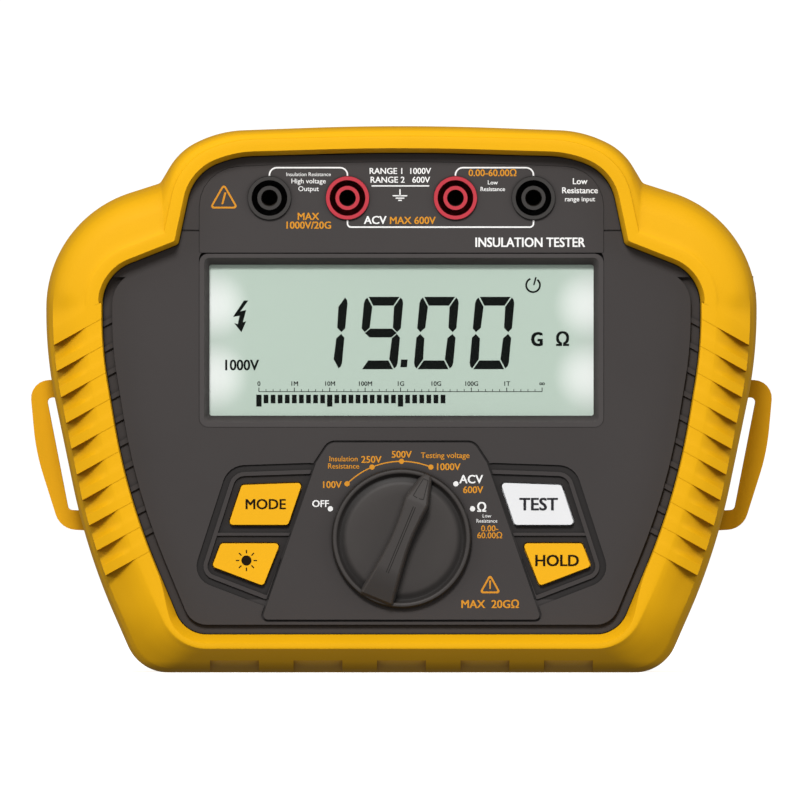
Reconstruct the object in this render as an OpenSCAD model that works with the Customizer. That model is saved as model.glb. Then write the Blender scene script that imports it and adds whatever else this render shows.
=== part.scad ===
// Portable insulation resistance tester.
// It stands on its lower edge: X is to the user's right, the panel faces -Y and Z is up.
// The origin is on the base, below the centre of the body.

/* [Bumper] */
// Width across the shoulders
body_w = 195; // [194:0.5:197]
// Height from the base to the top of the head
body_h = 150; // [149.5:0.5:152]
// Distance from the centre plane to the front of the lip
lip_front = 36; // [35.6:0.1:36.5]
// Distance from the centre plane to the rear rim
rim_back = 37.5; // [37.3:0.1:38.5]
// Thickness of the bumper over the sides of the case
skin = 3; // [2.6:0.1:3.1]
// Width of the lip round the panel
lip_w = 4.5; // [4:0.1:5]

/* [Case] */
// Distance from the centre plane to the main face of the panel
panel_front = 30.5; // [30.3:0.1:30.7]
// Thickness of the case walls
wall = 2.5; // [2.2:0.1:2.6]
// Gap between pieces that sit inside one another
gap = 0.2; // [0.15:0.05:0.2]

/* [Sockets] */
// Outer radius of a safety socket
socket_r = 5.9; // [5.7:0.05:6]
// Bore radius of a contact sleeve, for a 4 mm plug
contact_bore_r = 2; // [1.95:0.01:2.02]
// Distance of the inner pair of sockets from the centre line
inner_socket_x = 14.8; // [14.5:0.1:15.2]
// Distance of the outer pair of sockets from the centre line
outer_socket_x = 36.2; // [35.8:0.1:36.6]
// Height of the socket row
socket_z = 130.2; // [129.8:0.1:130.4]

/* [Display] */
// Visible width of the display
window_w = 105.2; // [104:0.2:106]
// Visible height of the display
window_h = 41.2; // [40:0.2:41.6]
// Height of the middle of the display
window_z = 91.2; // [91:0.1:91.4]

/* [Selector] */
// Height of the selector's axis
dial_z = 36.9; // [36.7:0.1:37.1]
// Radius of the selector knob
knob_r = 19.2; // [18.8:0.1:19.4]
// Angle between two switch positions, in degrees
dial_step = 22.5; // [22.5]

/* [Keys] */
// Height of a key above its tray
key_proud = 1.5; // [1.2:0.1:1.7]

/* [Battery] */
// Radius of an AA cell
cell_r = 7.1; // [7:0.05:7.2]
// Length of an AA cell
cell_l = 50.2; // [49.5:0.1:50.5]

/* [Hidden] */

arc_steps = 6;              // straight pieces in each rounded corner of an outline
sx = body_w / 195;          // the corner lists below are drawn for a body of 195 x 150 mm
sz = body_h / 150;
$fn = 48;

// Depths along Y, from the front to the back.
knob_top = -37.5;
lip_y = -lip_front;
panel_y = -panel_front;
dial_y = panel_y - 0.6;     // raised dial field
tray_y = panel_y + 0.7;     // sunk floor round the keys
edge_y = panel_y + 1.5;     // low shelf along the edge of the panel
plate_back = panel_y + 2.5; // inner face of the panel
shelf_y = -17.7;            // step where the bumper thins to its skin
board_front = -14.6;
board_back = -13;
back_y = rim_back - 1;      // rear face of the case
rim_w = 7;                  // width of the bumper's rear rim

// Corner lists: [x, z, radius], counter-clockwise as the user sees the panel, right half only.
outer_half = [
    [71.9 * sx, 0, 12], [86.4 * sx, 33.3, 180], [97.5 * sx, 86.6, 120], [97.5 * sx, 124.3, 33],
    [66.2 * sx, 134.3 * sz, 2], [60.8 * sx, 143.4 * sz, 7.5], [49.5 * sx, 148.6 * sz, 31]
];
opening_half = [
    [59.4, 10.5, 9], [75.4, 49, 180], [82, 89, 110], [82, 109.3, 12], [61.2, 117.5, 1.5],
    [57, 137.3, 13.2], [45, 141.6, 29]
];
function whole(half, top) = concat(half, [top],
    [for (i = [len(half) - 1:-1:0]) [-half[i][0], half[i][1], half[i][2]]]);
outer = whole(outer_half, [0, 150.4 * sz, 700]);
opening = whole(opening_half, [0, 142.9, 700]);

// Keys: corner lists of the left pair; the right pair mirrors them.
upper_key = [[-47.4, 40.6, 0.9], [-31.1, 40.6, 0.9], [-27.2, 52.1, 0.9], [-43.8, 51.5, 0.9]];
lower_key = [[-51.9, 29.2, 0.9], [-37.9, 23.9, 0.9], [-33.3, 35.5, 0.9], [-49.5, 35.5, 0.9]];
key_tray = [[-53.8, 27.7, 2.5], [-36.9, 21.2, 0.4], [-24.5, 54.6, 0.4], [-45.3, 53.9, 3.2]];
dial_field = [
    [38.3, 14.6, 1.2], [23.4, 57.6, 2.5], [19.8, 63.1, 3], [-19.8, 63.1, 3], [-23.4, 57.6, 2.5],
    [-38.3, 14.6, 1.2]
];
tray_rim = 1.1;             // ridge round a key tray
tray_groove = 1.9;          // groove outside that ridge

// Head plate: the field that carries the sockets, and the display surround below it.
head_half = [[55.4, 115.2, 0.4], [55.4, 138.3, 11]];
head_plate = whole(head_half, [0, 140.9, 700]);
bezel_w = 110.8;
bezel_bottom = 67.4;
bezel_top = 114.9;

screw_places = [
    [60, 11.5], [-60, 11.5], [82, 73], [-82, 73], [50, 135.6], [-50, 135.6]
];
board_screw_places = [
    [62, 64], [-62, 64], [25.5, 118.5], [-25.5, 118.5], [42, 19.3], [-42, 19.3]
];
socket_xs = [-outer_socket_x, -inner_socket_x, inner_socket_x, outer_socket_x];

// Battery bay in the rear case, seen from the front.
bay_w = 112;
bay_bottom = 22;
bay_top = 84;
bay_floor = 18.6;
cover_w = 128;
cover_bottom = 18.8;
cover_top = 87.2;
cover_y = 34.4;
cell_pitch = 15.2;
cell_y = bay_floor + 0.3 + cell_r;
cover_screw_x = 60.3;
cover_screw_z = (cover_bottom + cover_top) / 2;

// Hinge of the inlet cover on the right side wall.
hinge_x = 95.9;
hinge_y = -2.5;
inlet_bottom = 84.7;
inlet_top = 114.7;
inlet_y = -10;
inlet_z = (inlet_bottom + inlet_top) / 2;
ear_half = 7.7;             // half of the clear span between the hinge ears
ear_w = 1.5;
side_x = 97.5 * sx;

loop_outline = [
    [85.3, 38.8, 0.4], [93.9, 39.3, 6], [100.6, 60.5, 60], [102.4, 80.2, 5], [94, 80.4, 0.4]
];
loop_slot = [[88.7, 44.4, 0.3], [91.6, 44.6, 1.2], [97.6, 75.4, 1.2], [95.4, 75.5, 0.3]];
loop_front = -1.5;
loop_back = 5.5;

// ---- outline geometry -------------------------------------------------------------------------

function xz(c) = [c[0], c[1]];
function unit(v) = v / norm(v);
function left(v) = [-v[1], v[0]];
function turn(a, b) = ((b - a + 540) % 360) - 180;
function arc_at(a, b, c, r, n) =
    let (
        u = unit(a - b),
        v = unit(c - b),
        half = acos(u * v) / 2,
        middle = b + unit(u + v) * r / sin(half),
        first = b + u * r / tan(half) - middle,
        last = b + v * r / tan(half) - middle,
        a0 = atan2(first[1], first[0]),
        sweep = turn(a0, atan2(last[1], last[0]))
    )
    [for (i = [0:n]) middle + r * [cos(a0 + sweep * i / n), sin(a0 + sweep * i / n)]];
function rounded(corners, n = arc_steps) =
    let (k = len(corners))
    [for (i = [0:k - 1]) each arc_at(xz(corners[(i + k - 1) % k]), xz(corners[i]),
        xz(corners[(i + 1) % k]), corners[i][2], n)];
function inset(corners, d) =
    let (k = len(corners))
    [for (i = [0:k - 1])
        let (
            a = xz(corners[(i + k - 1) % k]),
            b = xz(corners[i]),
            c = xz(corners[(i + 1) % k]),
            n1 = left(unit(b - a)),
            n2 = left(unit(c - b)),
            bulge = cross(b - a, c - b) > 0 ? 1 : -1,
            moved = b + d * (n1 + n2) / (1 + n1 * n2)
        )
        [moved[0], moved[1], max(corners[i][2] - bulge * d, 0.3)]];
function box_corners(w, bottom, top, r) = [
    [-w / 2, bottom, r], [w / 2, bottom, r], [w / 2, top, r], [-w / 2, top, r]
];

// A flat shape drawn in X and Z, standing from depth front to depth back.
module slab(front, back) {
    translate([0, back, 0]) rotate([90, 0, 0]) linear_extrude(back - front) children();
}
module plate(corners, front, back) slab(front, back) polygon(rounded(corners));
// A round bar along Y.
module bar(x, z, r, front, back) {
    translate([x, back, z]) rotate([90, 0, 0]) cylinder(r = r, h = back - front);
}
// A box given by its lowest and highest corners.
module block(low, high) translate(low) cube(high - low);
module both_sides() {
    children();
    mirror([1, 0, 0]) children();
}

// ---- bumper -----------------------------------------------------------------------------------

// The rings of the bumper's section, from the inner wall over the lip and down the outside.
slope_steps = 4;
slope_top = lip_y + 0.6;
slope_foot = -22;
lip_outer = rounded(inset(opening, -lip_w));
silhouette = rounded(outer);
function slope_ring(t) = [for (j = [0:len(silhouette) - 1])
    lip_outer[j] + (silhouette[j] - lip_outer[j]) * sin(90 * t)];
bumper_rings = concat(
    [
        [rounded(opening), shelf_y],
        [rounded(opening), panel_y + 0.5],
        [rounded(inset(opening, -1.3)), slope_top],
        [rounded(inset(opening, -1.9)), lip_y],
        [rounded(inset(opening, -lip_w + 0.6)), lip_y],
        [lip_outer, slope_top]
    ],
    [for (i = [1:slope_steps])
        [slope_ring(i / slope_steps),
         slope_foot - (slope_foot - slope_top) * cos(90 * i / slope_steps)]],
    [
        [silhouette, rim_back - 3],
        [rounded(inset(outer, 0.9)), rim_back - 0.9],
        [rounded(inset(outer, 3)), rim_back],
        [rounded(inset(outer, rim_w)), rim_back],
        [rounded(inset(outer, rim_w)), back_y - 1.4],
        [rounded(inset(outer, skin)), back_y - 1.4],
        [rounded(inset(outer, skin)), shelf_y]
    ]
);
module bumper_body() {
    k = len(bumper_rings);
    n = len(silhouette);
    polyhedron(
        points = [for (ring = bumper_rings) each [for (p = ring[0]) [p[0], ring[1], p[1]]]],
        faces = [for (i = [0:k - 1], j = [0:n - 1]) let (
            a = i * n + j,
            b = i * n + (j + 1) % n,
            c = ((i + 1) % k) * n + (j + 1) % n,
            d = ((i + 1) % k) * n + j
        ) each [[a, b, c], [a, c, d]]]
    );
}
// Five notches under the chin.
notch_w = 13.4;
notch_pitch = 22.9;
notch_h = 3.2;
notch_back = -27;
module bumper() {
    color([0.95, 0.68, 0.05]) difference() {
        bumper_body();
        block([88, -17.2, inlet_bottom - 0.3], [100, -0.3, inlet_top + 0.3]);
        both_sides() plate(loop_outline, loop_front, loop_back);
        for (i = [-2:2])
            block([i * notch_pitch - notch_w / 2, -40, -1],
                  [i * notch_pitch + notch_w / 2, notch_back, notch_h]);
    }
}
module strap_loop_right() {
    color([0.95, 0.68, 0.05]) difference() {
        plate(loop_outline, loop_front, loop_back);
        plate(loop_slot, loop_front - 1, loop_back + 1);
    }
}
module strap_loop_left() mirror([1, 0, 0]) strap_loop_right();

// ---- case -------------------------------------------------------------------------------------

flange_inset = skin + gap;
module front_shell() {
    plate(inset(opening, 2.7), panel_y, edge_y);
    // Above the grip ribs the panel reaches the bumper.
    intersection() {
        plate(inset(opening, gap), panel_y, edge_y);
        block([-100, -40, 108.5], [100, 0, 160]);
    }
    plate(inset(opening, gap), edge_y, shelf_y + gap);
    plate(inset(outer, flange_inset), shelf_y + gap, 0);
}
module front_hollow() {
    plate(inset(opening, wall + gap), plate_back, shelf_y + gap + wall + 0.1);
    plate(inset(outer, flange_inset + wall), shelf_y + gap + wall, 1);
}
// Small tabs that carry the grip ribs on across the shelf at the edge of the panel.
rib_count = 10;
rib_slope = 28;
function rib_z(i) = 96.5 - 7.05 * i;
module rib_tabs() {
    both_sides() intersection() {
        difference() {
            plate(inset(opening, gap), panel_y + 0.7, edge_y);
            plate(inset(opening, 3), panel_y - 1, edge_y + 1);
        }
        slab(-40, -20) for (i = [0:rib_count - 1])
            translate([80, rib_z(i)]) rotate(-rib_slope) square([30, 1.3], center = true);
    }
}
module panel_cuts() {
    // Head plate and display surround drop into one shallow pocket.
    plate(inset(head_plate, -gap / 2), panel_y - 1, panel_y + 1.3);
    plate(box_corners(bezel_w + gap, bezel_bottom - gap / 2, bezel_top + 1, 2.5), panel_y - 1,
          panel_y + 1.3);
    plate(box_corners(108, 69.2, 113.1, 1), -40, plate_back + 1);
    for (x = socket_xs) bar(x, socket_z, socket_r + 0.1, -40, plate_back + 1);
    // Fine grooves that part the head from the body.
    both_sides() block([55.4, panel_y - 1, 121], [64, panel_y + 0.4, 121.5]);
    // Groove round the raised dial field.
    plate(inset(dial_field, -0.6), panel_y - 1, panel_y + 0.5);
    // Trays round the keys, with a ridge and an outer groove.
    both_sides() {
        plate(key_tray, panel_y - 1, tray_y);
        difference() {
            plate(inset(key_tray, -tray_rim - tray_groove), panel_y - 1, panel_y + 0.6);
            plate(inset(key_tray, -tray_rim), panel_y - 2, panel_y + 1);
        }
    }
}
module key_cuts() {
    both_sides() {
        plate(inset(upper_key, -0.3), -40, -20);
        plate(inset(lower_key, -0.3), -40, -20);
    }
}
module tray_dividers() {
    both_sides() intersection() {
        plate(key_tray, panel_y + 0.1, plate_back);
        block([-60, -40, 37.6], [-20, -20, 38.4]);
    }
}
module dial_shape() {
    plate(dial_field, dial_y, panel_y + 1);
}
module inlet_hinge_ears() {
    for (z = [inlet_z - ear_half - ear_w, inlet_z + ear_half])
        block([93.2, hinge_y - 1, z], [hinge_x + 0.9, hinge_y + 1, z + ear_w]);
}
module front_case() {
    color([0.27, 0.25, 0.25]) difference() {
        union() {
            difference() {
                front_shell();
                front_hollow();
                panel_cuts();
            }
            rib_tabs();
            tray_dividers();
            dial_shape();
            for (p = screw_places) bar(p[0], p[1], 3.6, -15.3, -0.05);
            for (p = board_screw_places) bar(p[0], p[1], 2.8, plate_back - 0.5, board_front);
            inlet_hinge_ears();
        }
        key_cuts();
        bar(0, dial_z, 8, -40, -20);
        for (p = screw_places) bar(p[0], p[1], 1.55, -12.5, 1);
        for (p = board_screw_places) bar(p[0], p[1], 1.05, -24, board_front + 1);
        translate([88, inlet_y, inlet_z]) rotate([0, 90, 0]) cylinder(r = 4.1, h = 10);
        translate([hinge_x, hinge_y, 80]) cylinder(r = 0.62, h = 40);
    }
}

module rear_case() {
    color([0.27, 0.25, 0.25]) difference() {
        union() {
            difference() {
                union() {
                    plate(inset(outer, flange_inset), 0.05, back_y - 1.6);
                    plate(inset(outer, rim_w + gap), back_y - 1.7, back_y);
                }
                plate(inset(outer, flange_inset + wall), -1, back_y - wall);
            }
            plate(box_corners(cover_w + 5, cover_bottom - 2.5, cover_top + 2.5, 2), back_y - 4.5,
                  back_y - wall + 0.1);
            plate(box_corners(bay_w + 4, bay_bottom - 2, bay_top + 2, 1), bay_floor - 2,
                  back_y - wall);
            for (p = screw_places) bar(p[0], p[1], 4.6, 0.05, back_y - wall + 0.1);
            both_sides() bar(cover_screw_x, cover_screw_z, 3.4, 22, back_y - wall);
        }
        plate(box_corners(bay_w, bay_bottom, bay_top, 1), bay_floor, 50);
        plate(box_corners(cover_w + 0.6, cover_bottom - 0.3, cover_top + 0.3, 3.3), cover_y - 0.1, 50);
        for (p = screw_places) {
            bar(p[0], p[1], 3.3, 6, 50);
            bar(p[0], p[1], 1.65, -1, 50);
        }
        both_sides() bar(cover_screw_x, cover_screw_z, 1.6, 23.5, 50);
        // Passages for the two battery leads through the top wall of the bay.
        both_sides() block([5, bay_floor + 1, bay_top - 1], [8, bay_floor + 4, bay_top + 3]);
    }
    // Rib between the two columns of cells.
    color([0.27, 0.25, 0.25]) block([-0.7, bay_floor - 0.5, bay_bottom - 0.5],
                                    [0.7, bay_floor + 8, bay_top + 0.5]);
}

// A pan-head screw along Y: the head lies behind its shank.
module screw(x, z, shank_r, head_r, tip, seat, head_h) {
    difference() {
        union() {
            bar(x, z, shank_r, tip, seat);
            bar(x, z, head_r, seat, seat + head_h);
        }
        block([x - head_r * 0.65, seat + head_h * 0.5, z - 0.35],
              [x + head_r * 0.65, seat + head_h + 1, z + 0.35]);
        block([x - 0.35, seat + head_h * 0.5, z - head_r * 0.65],
              [x + 0.35, seat + head_h + 1, z + head_r * 0.65]);
    }
}
module case_screws() {
    color("silver") for (p = screw_places) screw(p[0], p[1], 1.5, 2.9, -10, 6, 2.2);
}

// ---- head plate and display -------------------------------------------------------------------

module terminal_panel() {
    color([0.29, 0.27, 0.27]) difference() {
        plate(head_plate, panel_y - 0.1, panel_y + 1.2);
        for (x = socket_xs) bar(x, socket_z, socket_r + 0.1, -40, 0);
    }
}
module display_bezel() {
    rim = 1.6;
    inner_front = box_corners(window_w + 2 * rim, window_z - window_h / 2 - 2,
                              window_z + window_h / 2 + 2.1, 1.5);
    inner_back = box_corners(window_w, window_z - window_h / 2, window_z + window_h / 2, 0.6);
    front_pts = rounded(inner_front);
    back_pts = rounded(inner_back);
    n = len(front_pts);
    color([0.24, 0.22, 0.22]) difference() {
        union() {
            plate(box_corners(bezel_w, bezel_bottom, bezel_top, 2.4), panel_y - 0.1, panel_y + 1.2);
            plate(box_corners(107.6, 69.4, 112.9, 0.9), panel_y + 1, panel_y + 1.9);
        }
        // Funnel-shaped opening: its walls slope in towards the display.
        polyhedron(
            points = concat([for (p = front_pts) [p[0], panel_y - 0.2, p[1]]],
                            [for (p = back_pts) [p[0], panel_y + 2, p[1]]]),
            faces = concat(
                [[for (j = [0:n - 1]) n - 1 - j]],
                [[for (j = [0:n - 1]) n + j]],
                [for (j = [0:n - 1]) each [[j, (j + 1) % n, n + (j + 1) % n],
                                           [j, n + (j + 1) % n, n + j]]])
        );
    }
}
window_front = panel_y + 2;
module display_window() {
    color([0.8, 0.9, 0.85, 0.4])
        plate(box_corners(107.6, 69.4, 112.9, 0.8), window_front, window_front + 1.4);
}
glass_front = window_front + 1.6;
module lcd_glass() {
    color([0.72, 0.79, 0.73]) {
        plate(box_corners(107, 69.7, 112.6, 0.3), glass_front, glass_front + 1);
        plate(box_corners(107, 72.7, 109.6, 0.3), glass_front + 1, glass_front + 2);
    }
}
light_front = glass_front + 2.2;
module lcd_backlight() {
    color("white") {
        plate(box_corners(100, 73.2, 109.1, 0.5), light_front, light_front + 3);
        // Light strips at both ends of the light guide.
        both_sides() block([50, light_front + 0.4, 76], [52.6, light_front + 2.6, 106]);
    }
}
module lcd_connector_strips() {
    color("pink") for (z = [70, 110])
        block([-50, glass_front + 1.1, z], [50, board_front - 0.1, z + 2.3]);
}
module lcd_frame() {
    color("white") difference() {
        plate(box_corners(112.6, 67.2, 115, 1), plate_back + 0.1, board_front - 0.3);
        plate(box_corners(108.6, 69, 113.3, 0.8), plate_back - 1, light_front + 3.2);
        block([-51, -30, 69.6], [51, -10, 72.6]);
        block([-51, -30, 109.7], [51, -10, 112.7]);
        block([-46, -30, 77], [46, -10, 105]);
        // Room for the board's screw pillars.
        both_sides() bar(62, 64, 8, -40, 0);
    }
}

// ---- safety sockets ---------------------------------------------------------------------------

socket_front = panel_y - 0.9;
contact_front = -27;
contact_shoulder = -26;
contact_bottom = -11;
post_r = 3.3;
module socket(x, tone) {
    color(tone) difference() {
        union() {
            bar(x, socket_z, socket_r, socket_front, plate_back + 0.5);
            bar(x, socket_z, 6.9, plate_back + 0.1, board_front - 0.2);
        }
        // Groove that takes the plug's shroud.
        difference() {
            bar(x, socket_z, 4.9, socket_front - 1, -16.5);
            bar(x, socket_z, post_r, socket_front - 2, 0);
        }
        bar(x, socket_z, 2.3, socket_front - 1, contact_shoulder + 0.5);
        bar(x, socket_z, 2.75, contact_shoulder - 0.1, 0);
    }
}
module contact(x) {
    color("gold") difference() {
        union() {
            bar(x, socket_z, 2.22, contact_front, -20);
            bar(x, socket_z, 2.7, contact_shoulder, -10);
        }
        bar(x, socket_z, contact_bore_r, contact_front - 1, contact_bottom);
    }
}
module socket_output_black() socket(socket_xs[0], [0.13, 0.12, 0.12]);
module socket_output_red() socket(socket_xs[1], [0.85, 0.2, 0.27]);
module socket_input_red() socket(socket_xs[2], [0.85, 0.2, 0.27]);
module socket_input_black() socket(socket_xs[3], [0.13, 0.12, 0.12]);
module contact_output_black() contact(socket_xs[0]);
module contact_output_red() contact(socket_xs[1]);
module contact_input_red() contact(socket_xs[2]);
module contact_input_black() contact(socket_xs[3]);

// ---- selector switch --------------------------------------------------------------------------

knob_back = dial_y - 0.2;
knob_rim = knob_back - 1.8;
// Everything on the dial is drawn upright and turned to the fourth position, as it stands at rest.
module on_dial() translate([0, 0, dial_z]) rotate([0, dial_step, 0]) children();
// Half of the grip bar's outline, from its blunt tail to its pointed head.
grip_half = [[6.2, -18], [3.6, -8], [2.8, 1], [3.9, 8.5], [3.1, 12.5], [1.3, 18.4]];
grip = concat(grip_half, [for (i = [len(grip_half) - 1:-1:0]) [-grip_half[i][0], grip_half[i][1]]]);
module selector_knob() {
    color([0.25, 0.24, 0.23]) on_dial() difference() {
        union() {
            difference() {
                bar(0, 0, knob_r, knob_rim, knob_back);
                // Dished face, deepest near the rim.
                rotate([90, 0, 0]) translate([0, 0, -knob_back]) rotate_extrude()
                    polygon([[0, 1.2], [13, 0.9], [16.4, 0.7], [17.6, 1.9], [17.6, 3], [0, 3]]);
            }
            intersection() {
                slab(knob_top, knob_back) polygon(grip);
                bar(0, 0, knob_r - 0.2, knob_top - 1, knob_back);
            }
            bar(0, 0, 7.94, knob_back - 0.5, -24);
        }
        bar(0, 0, 1.25, -31, -20);
        // Pointer line along the top of the grip.
        block([-0.25, knob_top - 1, -9], [0.25, knob_top + 0.4, 10]);
        slab(knob_top - 1, knob_top + 0.4) polygon([[-1.5, 10], [1.5, 10], [0.5, 16], [-0.5, 16]]);
        // Flat that keys the hub to the rotor.
        block([-8, -26, 6.6], [8, -20, 9]);
    }
}
module switch_rotor() {
    color([0.9, 0.9, 0.86]) on_dial() difference() {
        union() {
            bar(0, 0, 13.2, -27.6, -23.9);
            bar(0, 0, 17, -23.9, -19.5);
            bar(0, 0, 2.9, -19.6, -12);
        }
        // Socket that takes the knob's hub, closed by a flat on one side.
        difference() {
            bar(0, 0, 8.05, -30, -23.95);
            block([-9, -26, 6.7], [9, -23, 9]);
        }
        bar(0, 0, 1.6, -30, -10);
        bar(0, 0, 2.3, -19.3, -10);
        for (s = [-1, 1]) scale_x(s) translate([6, -25.7, 0]) rotate([0, 90, 0])
            cylinder(r = 1.55, h = 10);
    }
}
module scale_x(s) {
    if (s < 0) mirror([1, 0, 0]) children();
    else children();
}
module selector_screw() {
    color("silver") on_dial() {
        bar(0, 0, 1.2, -30.5, -19.3);
        bar(0, 0, 2.2, -19.3, -18);
    }
}
module detent_balls() {
    color("silver") on_dial() for (s = [-1, 1]) translate([s * 14.5, -25.7, 0]) sphere(r = 1.5);
}
module detent_springs() {
    color("silver") on_dial() for (s = [-1, 1]) scale_x(s) translate([8.9, -25.7, 0])
        rotate([0, 90, 0]) difference() {
            cylinder(r = 1.3, h = 3.9);
            translate([0, 0, -1]) cylinder(r = 0.9, h = 6);
        }
}
module detent_ring() {
    color([0.9, 0.9, 0.86]) difference() {
        bar(0, dial_z, 19.4, plate_back + 0.05, -24.1);
        bar(0, dial_z, 16.2, -40, 0);
        for (i = [0:15]) rotate_dial(i * dial_step)
            bar(16.2, 0, 1.3, -40, 0);
    }
}
module rotate_dial(angle) translate([0, 0, dial_z]) rotate([0, angle, 0]) children();
module rotor_wipers() {
    color("gold") on_dial() for (i = [0:5]) rotate([0, i * 60, 0]) {
        block([8, -19.5, -1.2], [15, -19.1, 1.2]);
        block([14.6, -19.5, -1.2], [15, board_front - 0.2, 1.2]);
        block([12.6, board_front - 0.5, -1.2], [15, board_front - 0.1, 1.2]);
    }
}

// ---- keys -------------------------------------------------------------------------------------

key_front = tray_y - key_proud;
module key(corners, centre) {
    plate(corners, key_front, -26);
    plate(inset(corners, -1.1), plate_back + 0.1, plate_back + 1.2);
    block([centre[0] - 3, -26.1, centre[1] - 3], [centre[0] + 3, -18.6, centre[1] + 3]);
}
function centre_of(corners) = [
    (corners[0][0] + corners[1][0] + corners[2][0] + corners[3][0]) / 4,
    (corners[0][1] + corners[1][1] + corners[2][1] + corners[3][1]) / 4
];
upper_centre = centre_of(upper_key);
lower_centre = centre_of(lower_key);
module key_mode() color([0.97, 0.7, 0.05]) key(upper_key, upper_centre);
module key_backlight() color([0.97, 0.7, 0.05]) key(lower_key, lower_centre);
module key_test() color([0.92, 0.92, 0.93]) mirror([1, 0, 0]) key(upper_key, upper_centre);
module key_hold() color([0.97, 0.7, 0.05]) mirror([1, 0, 0]) key(lower_key, lower_centre);

// Rubber dome on the board below each key; it folds as the key goes down.
module dome(centre) {
    base_r = 4.4;
    top_r = 2.4;
    translate([centre[0], board_front - 0.1, centre[1]]) rotate([90, 0, 0]) {
        cylinder(r = base_r + 0.6, h = 0.6);
        cylinder(r1 = base_r, r2 = top_r, h = 3.8);
    }
}
module key_dome_mode() color("gray") dome(upper_centre);
module key_dome_backlight() color("gray") dome(lower_centre);
module key_dome_test() color("gray") mirror([1, 0, 0]) dome(upper_centre);
module key_dome_hold() color("gray") mirror([1, 0, 0]) dome(lower_centre);

// ---- electronics ------------------------------------------------------------------------------

board_half = [
    [50, 16.2, 1.5], [68.5, 60, 3], [72, 95, 3], [57, 113, 3], [44, 120, 2], [44, 140.5, 2]
];
board_corners = concat(board_half,
    [for (i = [len(board_half) - 1:-1:0]) [-board_half[i][0], board_half[i][1], board_half[i][2]]]);
module main_board() {
    color([0.1, 0.4, 0.2]) difference() {
        plate(board_corners, board_front, board_back);
        for (x = socket_xs) bar(x, socket_z, 2.8, -20, 0);
        for (p = board_screw_places) bar(p[0], p[1], 1.3, -20, 0);
        bar(0, dial_z, 3, -20, 0);
    }
}
module board_screws() {
    color("silver") for (p = board_screw_places) screw(p[0], p[1], 1, 2.2, -22, board_back, 1.5);
}
module hv_transformer() {
    color([0.2, 0.2, 0.22]) {
        block([-10.5, board_back + 2, 106], [10.5, board_back + 18, 123]);
        block([-12, board_back + 0.1, 104], [12, board_back + 2.2, 125]);
    }
    color("orange") block([-7.5, board_back + 17.9, 108], [7.5, board_back + 21, 121]);
}
module hv_capacitors() {
    color("navy") for (x = [24, 34.5])
        translate([x, board_back + 5.5, 94]) cylinder(r = 4.9, h = 20);
}
module relays() {
    color([0.15, 0.15, 0.5]) for (x = [-38, -25])
        block([x, board_back + 0.1, 93], [x + 11, board_back + 13, 113]);
}
module chips() {
    color([0.08, 0.08, 0.08]) {
        block([-9, board_back + 0.1, 60], [9, board_back + 2.4, 78]);
        block([22, board_back + 0.1, 66], [34, board_back + 1.9, 74]);
        block([-36, board_back + 0.1, 62], [-28, board_back + 1.9, 76]);
        block([20, board_back + 0.1, 48], [30, board_back + 1.9, 53]);
    }
}
fuse_z = 88;
module fuse() {
    color("white") translate([-50, board_back + 5, fuse_z]) rotate([0, 90, 0])
        cylinder(r = 2.6, h = 20);
}
module fuse_clips() {
    color("gold") for (x = [-49, -34]) difference() {
        block([x, board_back + 0.1, fuse_z - 3.3], [x + 3, board_back + 6.5, fuse_z + 3.3]);
        translate([x - 1, board_back + 5, fuse_z]) rotate([0, 90, 0]) cylinder(r = 2.65, h = 5);
        block([x - 1, board_back + 5, fuse_z - 2], [x + 4, board_back + 8, fuse_z + 2]);
    }
}
module buzzer() {
    color([0.1, 0.1, 0.1]) difference() {
        bar(50, 88, 6, board_back + 0.1, board_back + 9);
        bar(50, 88, 1.2, board_back + 6, board_back + 10);
    }
}

// ---- batteries --------------------------------------------------------------------------------

cell_zs = [for (i = [0:3]) bay_bottom + 8.2 + i * cell_pitch];
cell_gap = 2.6;             // room for the contacts between a cell and its end wall
column_x = 0.7 + cell_gap;  // inner end of a cell in the right column
// The cell at height index i points its cap outwards in turn, so the eight form one chain.
module cell(x, z, cap_right) {
    s = cap_right ? 1 : -1;
    translate([x + (cap_right ? 0 : cell_l), cell_y, z]) rotate([0, s * 90, 0]) {
        cylinder(r = cell_r, h = cell_l - 1.2);
        cylinder(r = 2.6, h = cell_l);
    }
}
module battery_cells() {
    color([0.2, 0.35, 0.2]) for (i = [0:3]) {
        cell(column_x, cell_zs[i], i % 2 == 0);
        cell(-column_x - cell_l, cell_zs[i], i % 2 == 0);
    }
}
module contact_plates(cap_side) {
    for (i = [0:3], side = [-1, 1]) {
        at_right = (i % 2 == 0) == cap_side;
        x_end = side > 0 ? (at_right ? 56 - 0.5 : 0.7) : (at_right ? -0.7 - 0.5 : -56);
        block([x_end, bay_floor + 1, cell_zs[i] - 5.5], [x_end + 0.5, bay_floor + 13.5, cell_zs[i] + 5.5]);
        // Tongue or dimple that reaches the cell.
        reach = cell_gap - 0.6;
        x0 = at_right ? x_end - reach : x_end + 0.45;
        translate([x0, cell_y, cell_zs[i]]) rotate([0, 90, 0])
            cylinder(r1 = at_right ? 2 : 3.2, r2 = at_right ? 3.2 : 2, h = reach + 0.05);
    }
}
module battery_plate_contacts() color("silver") contact_plates(true);
module battery_spring_contacts() color("silver") contact_plates(false);

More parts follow.
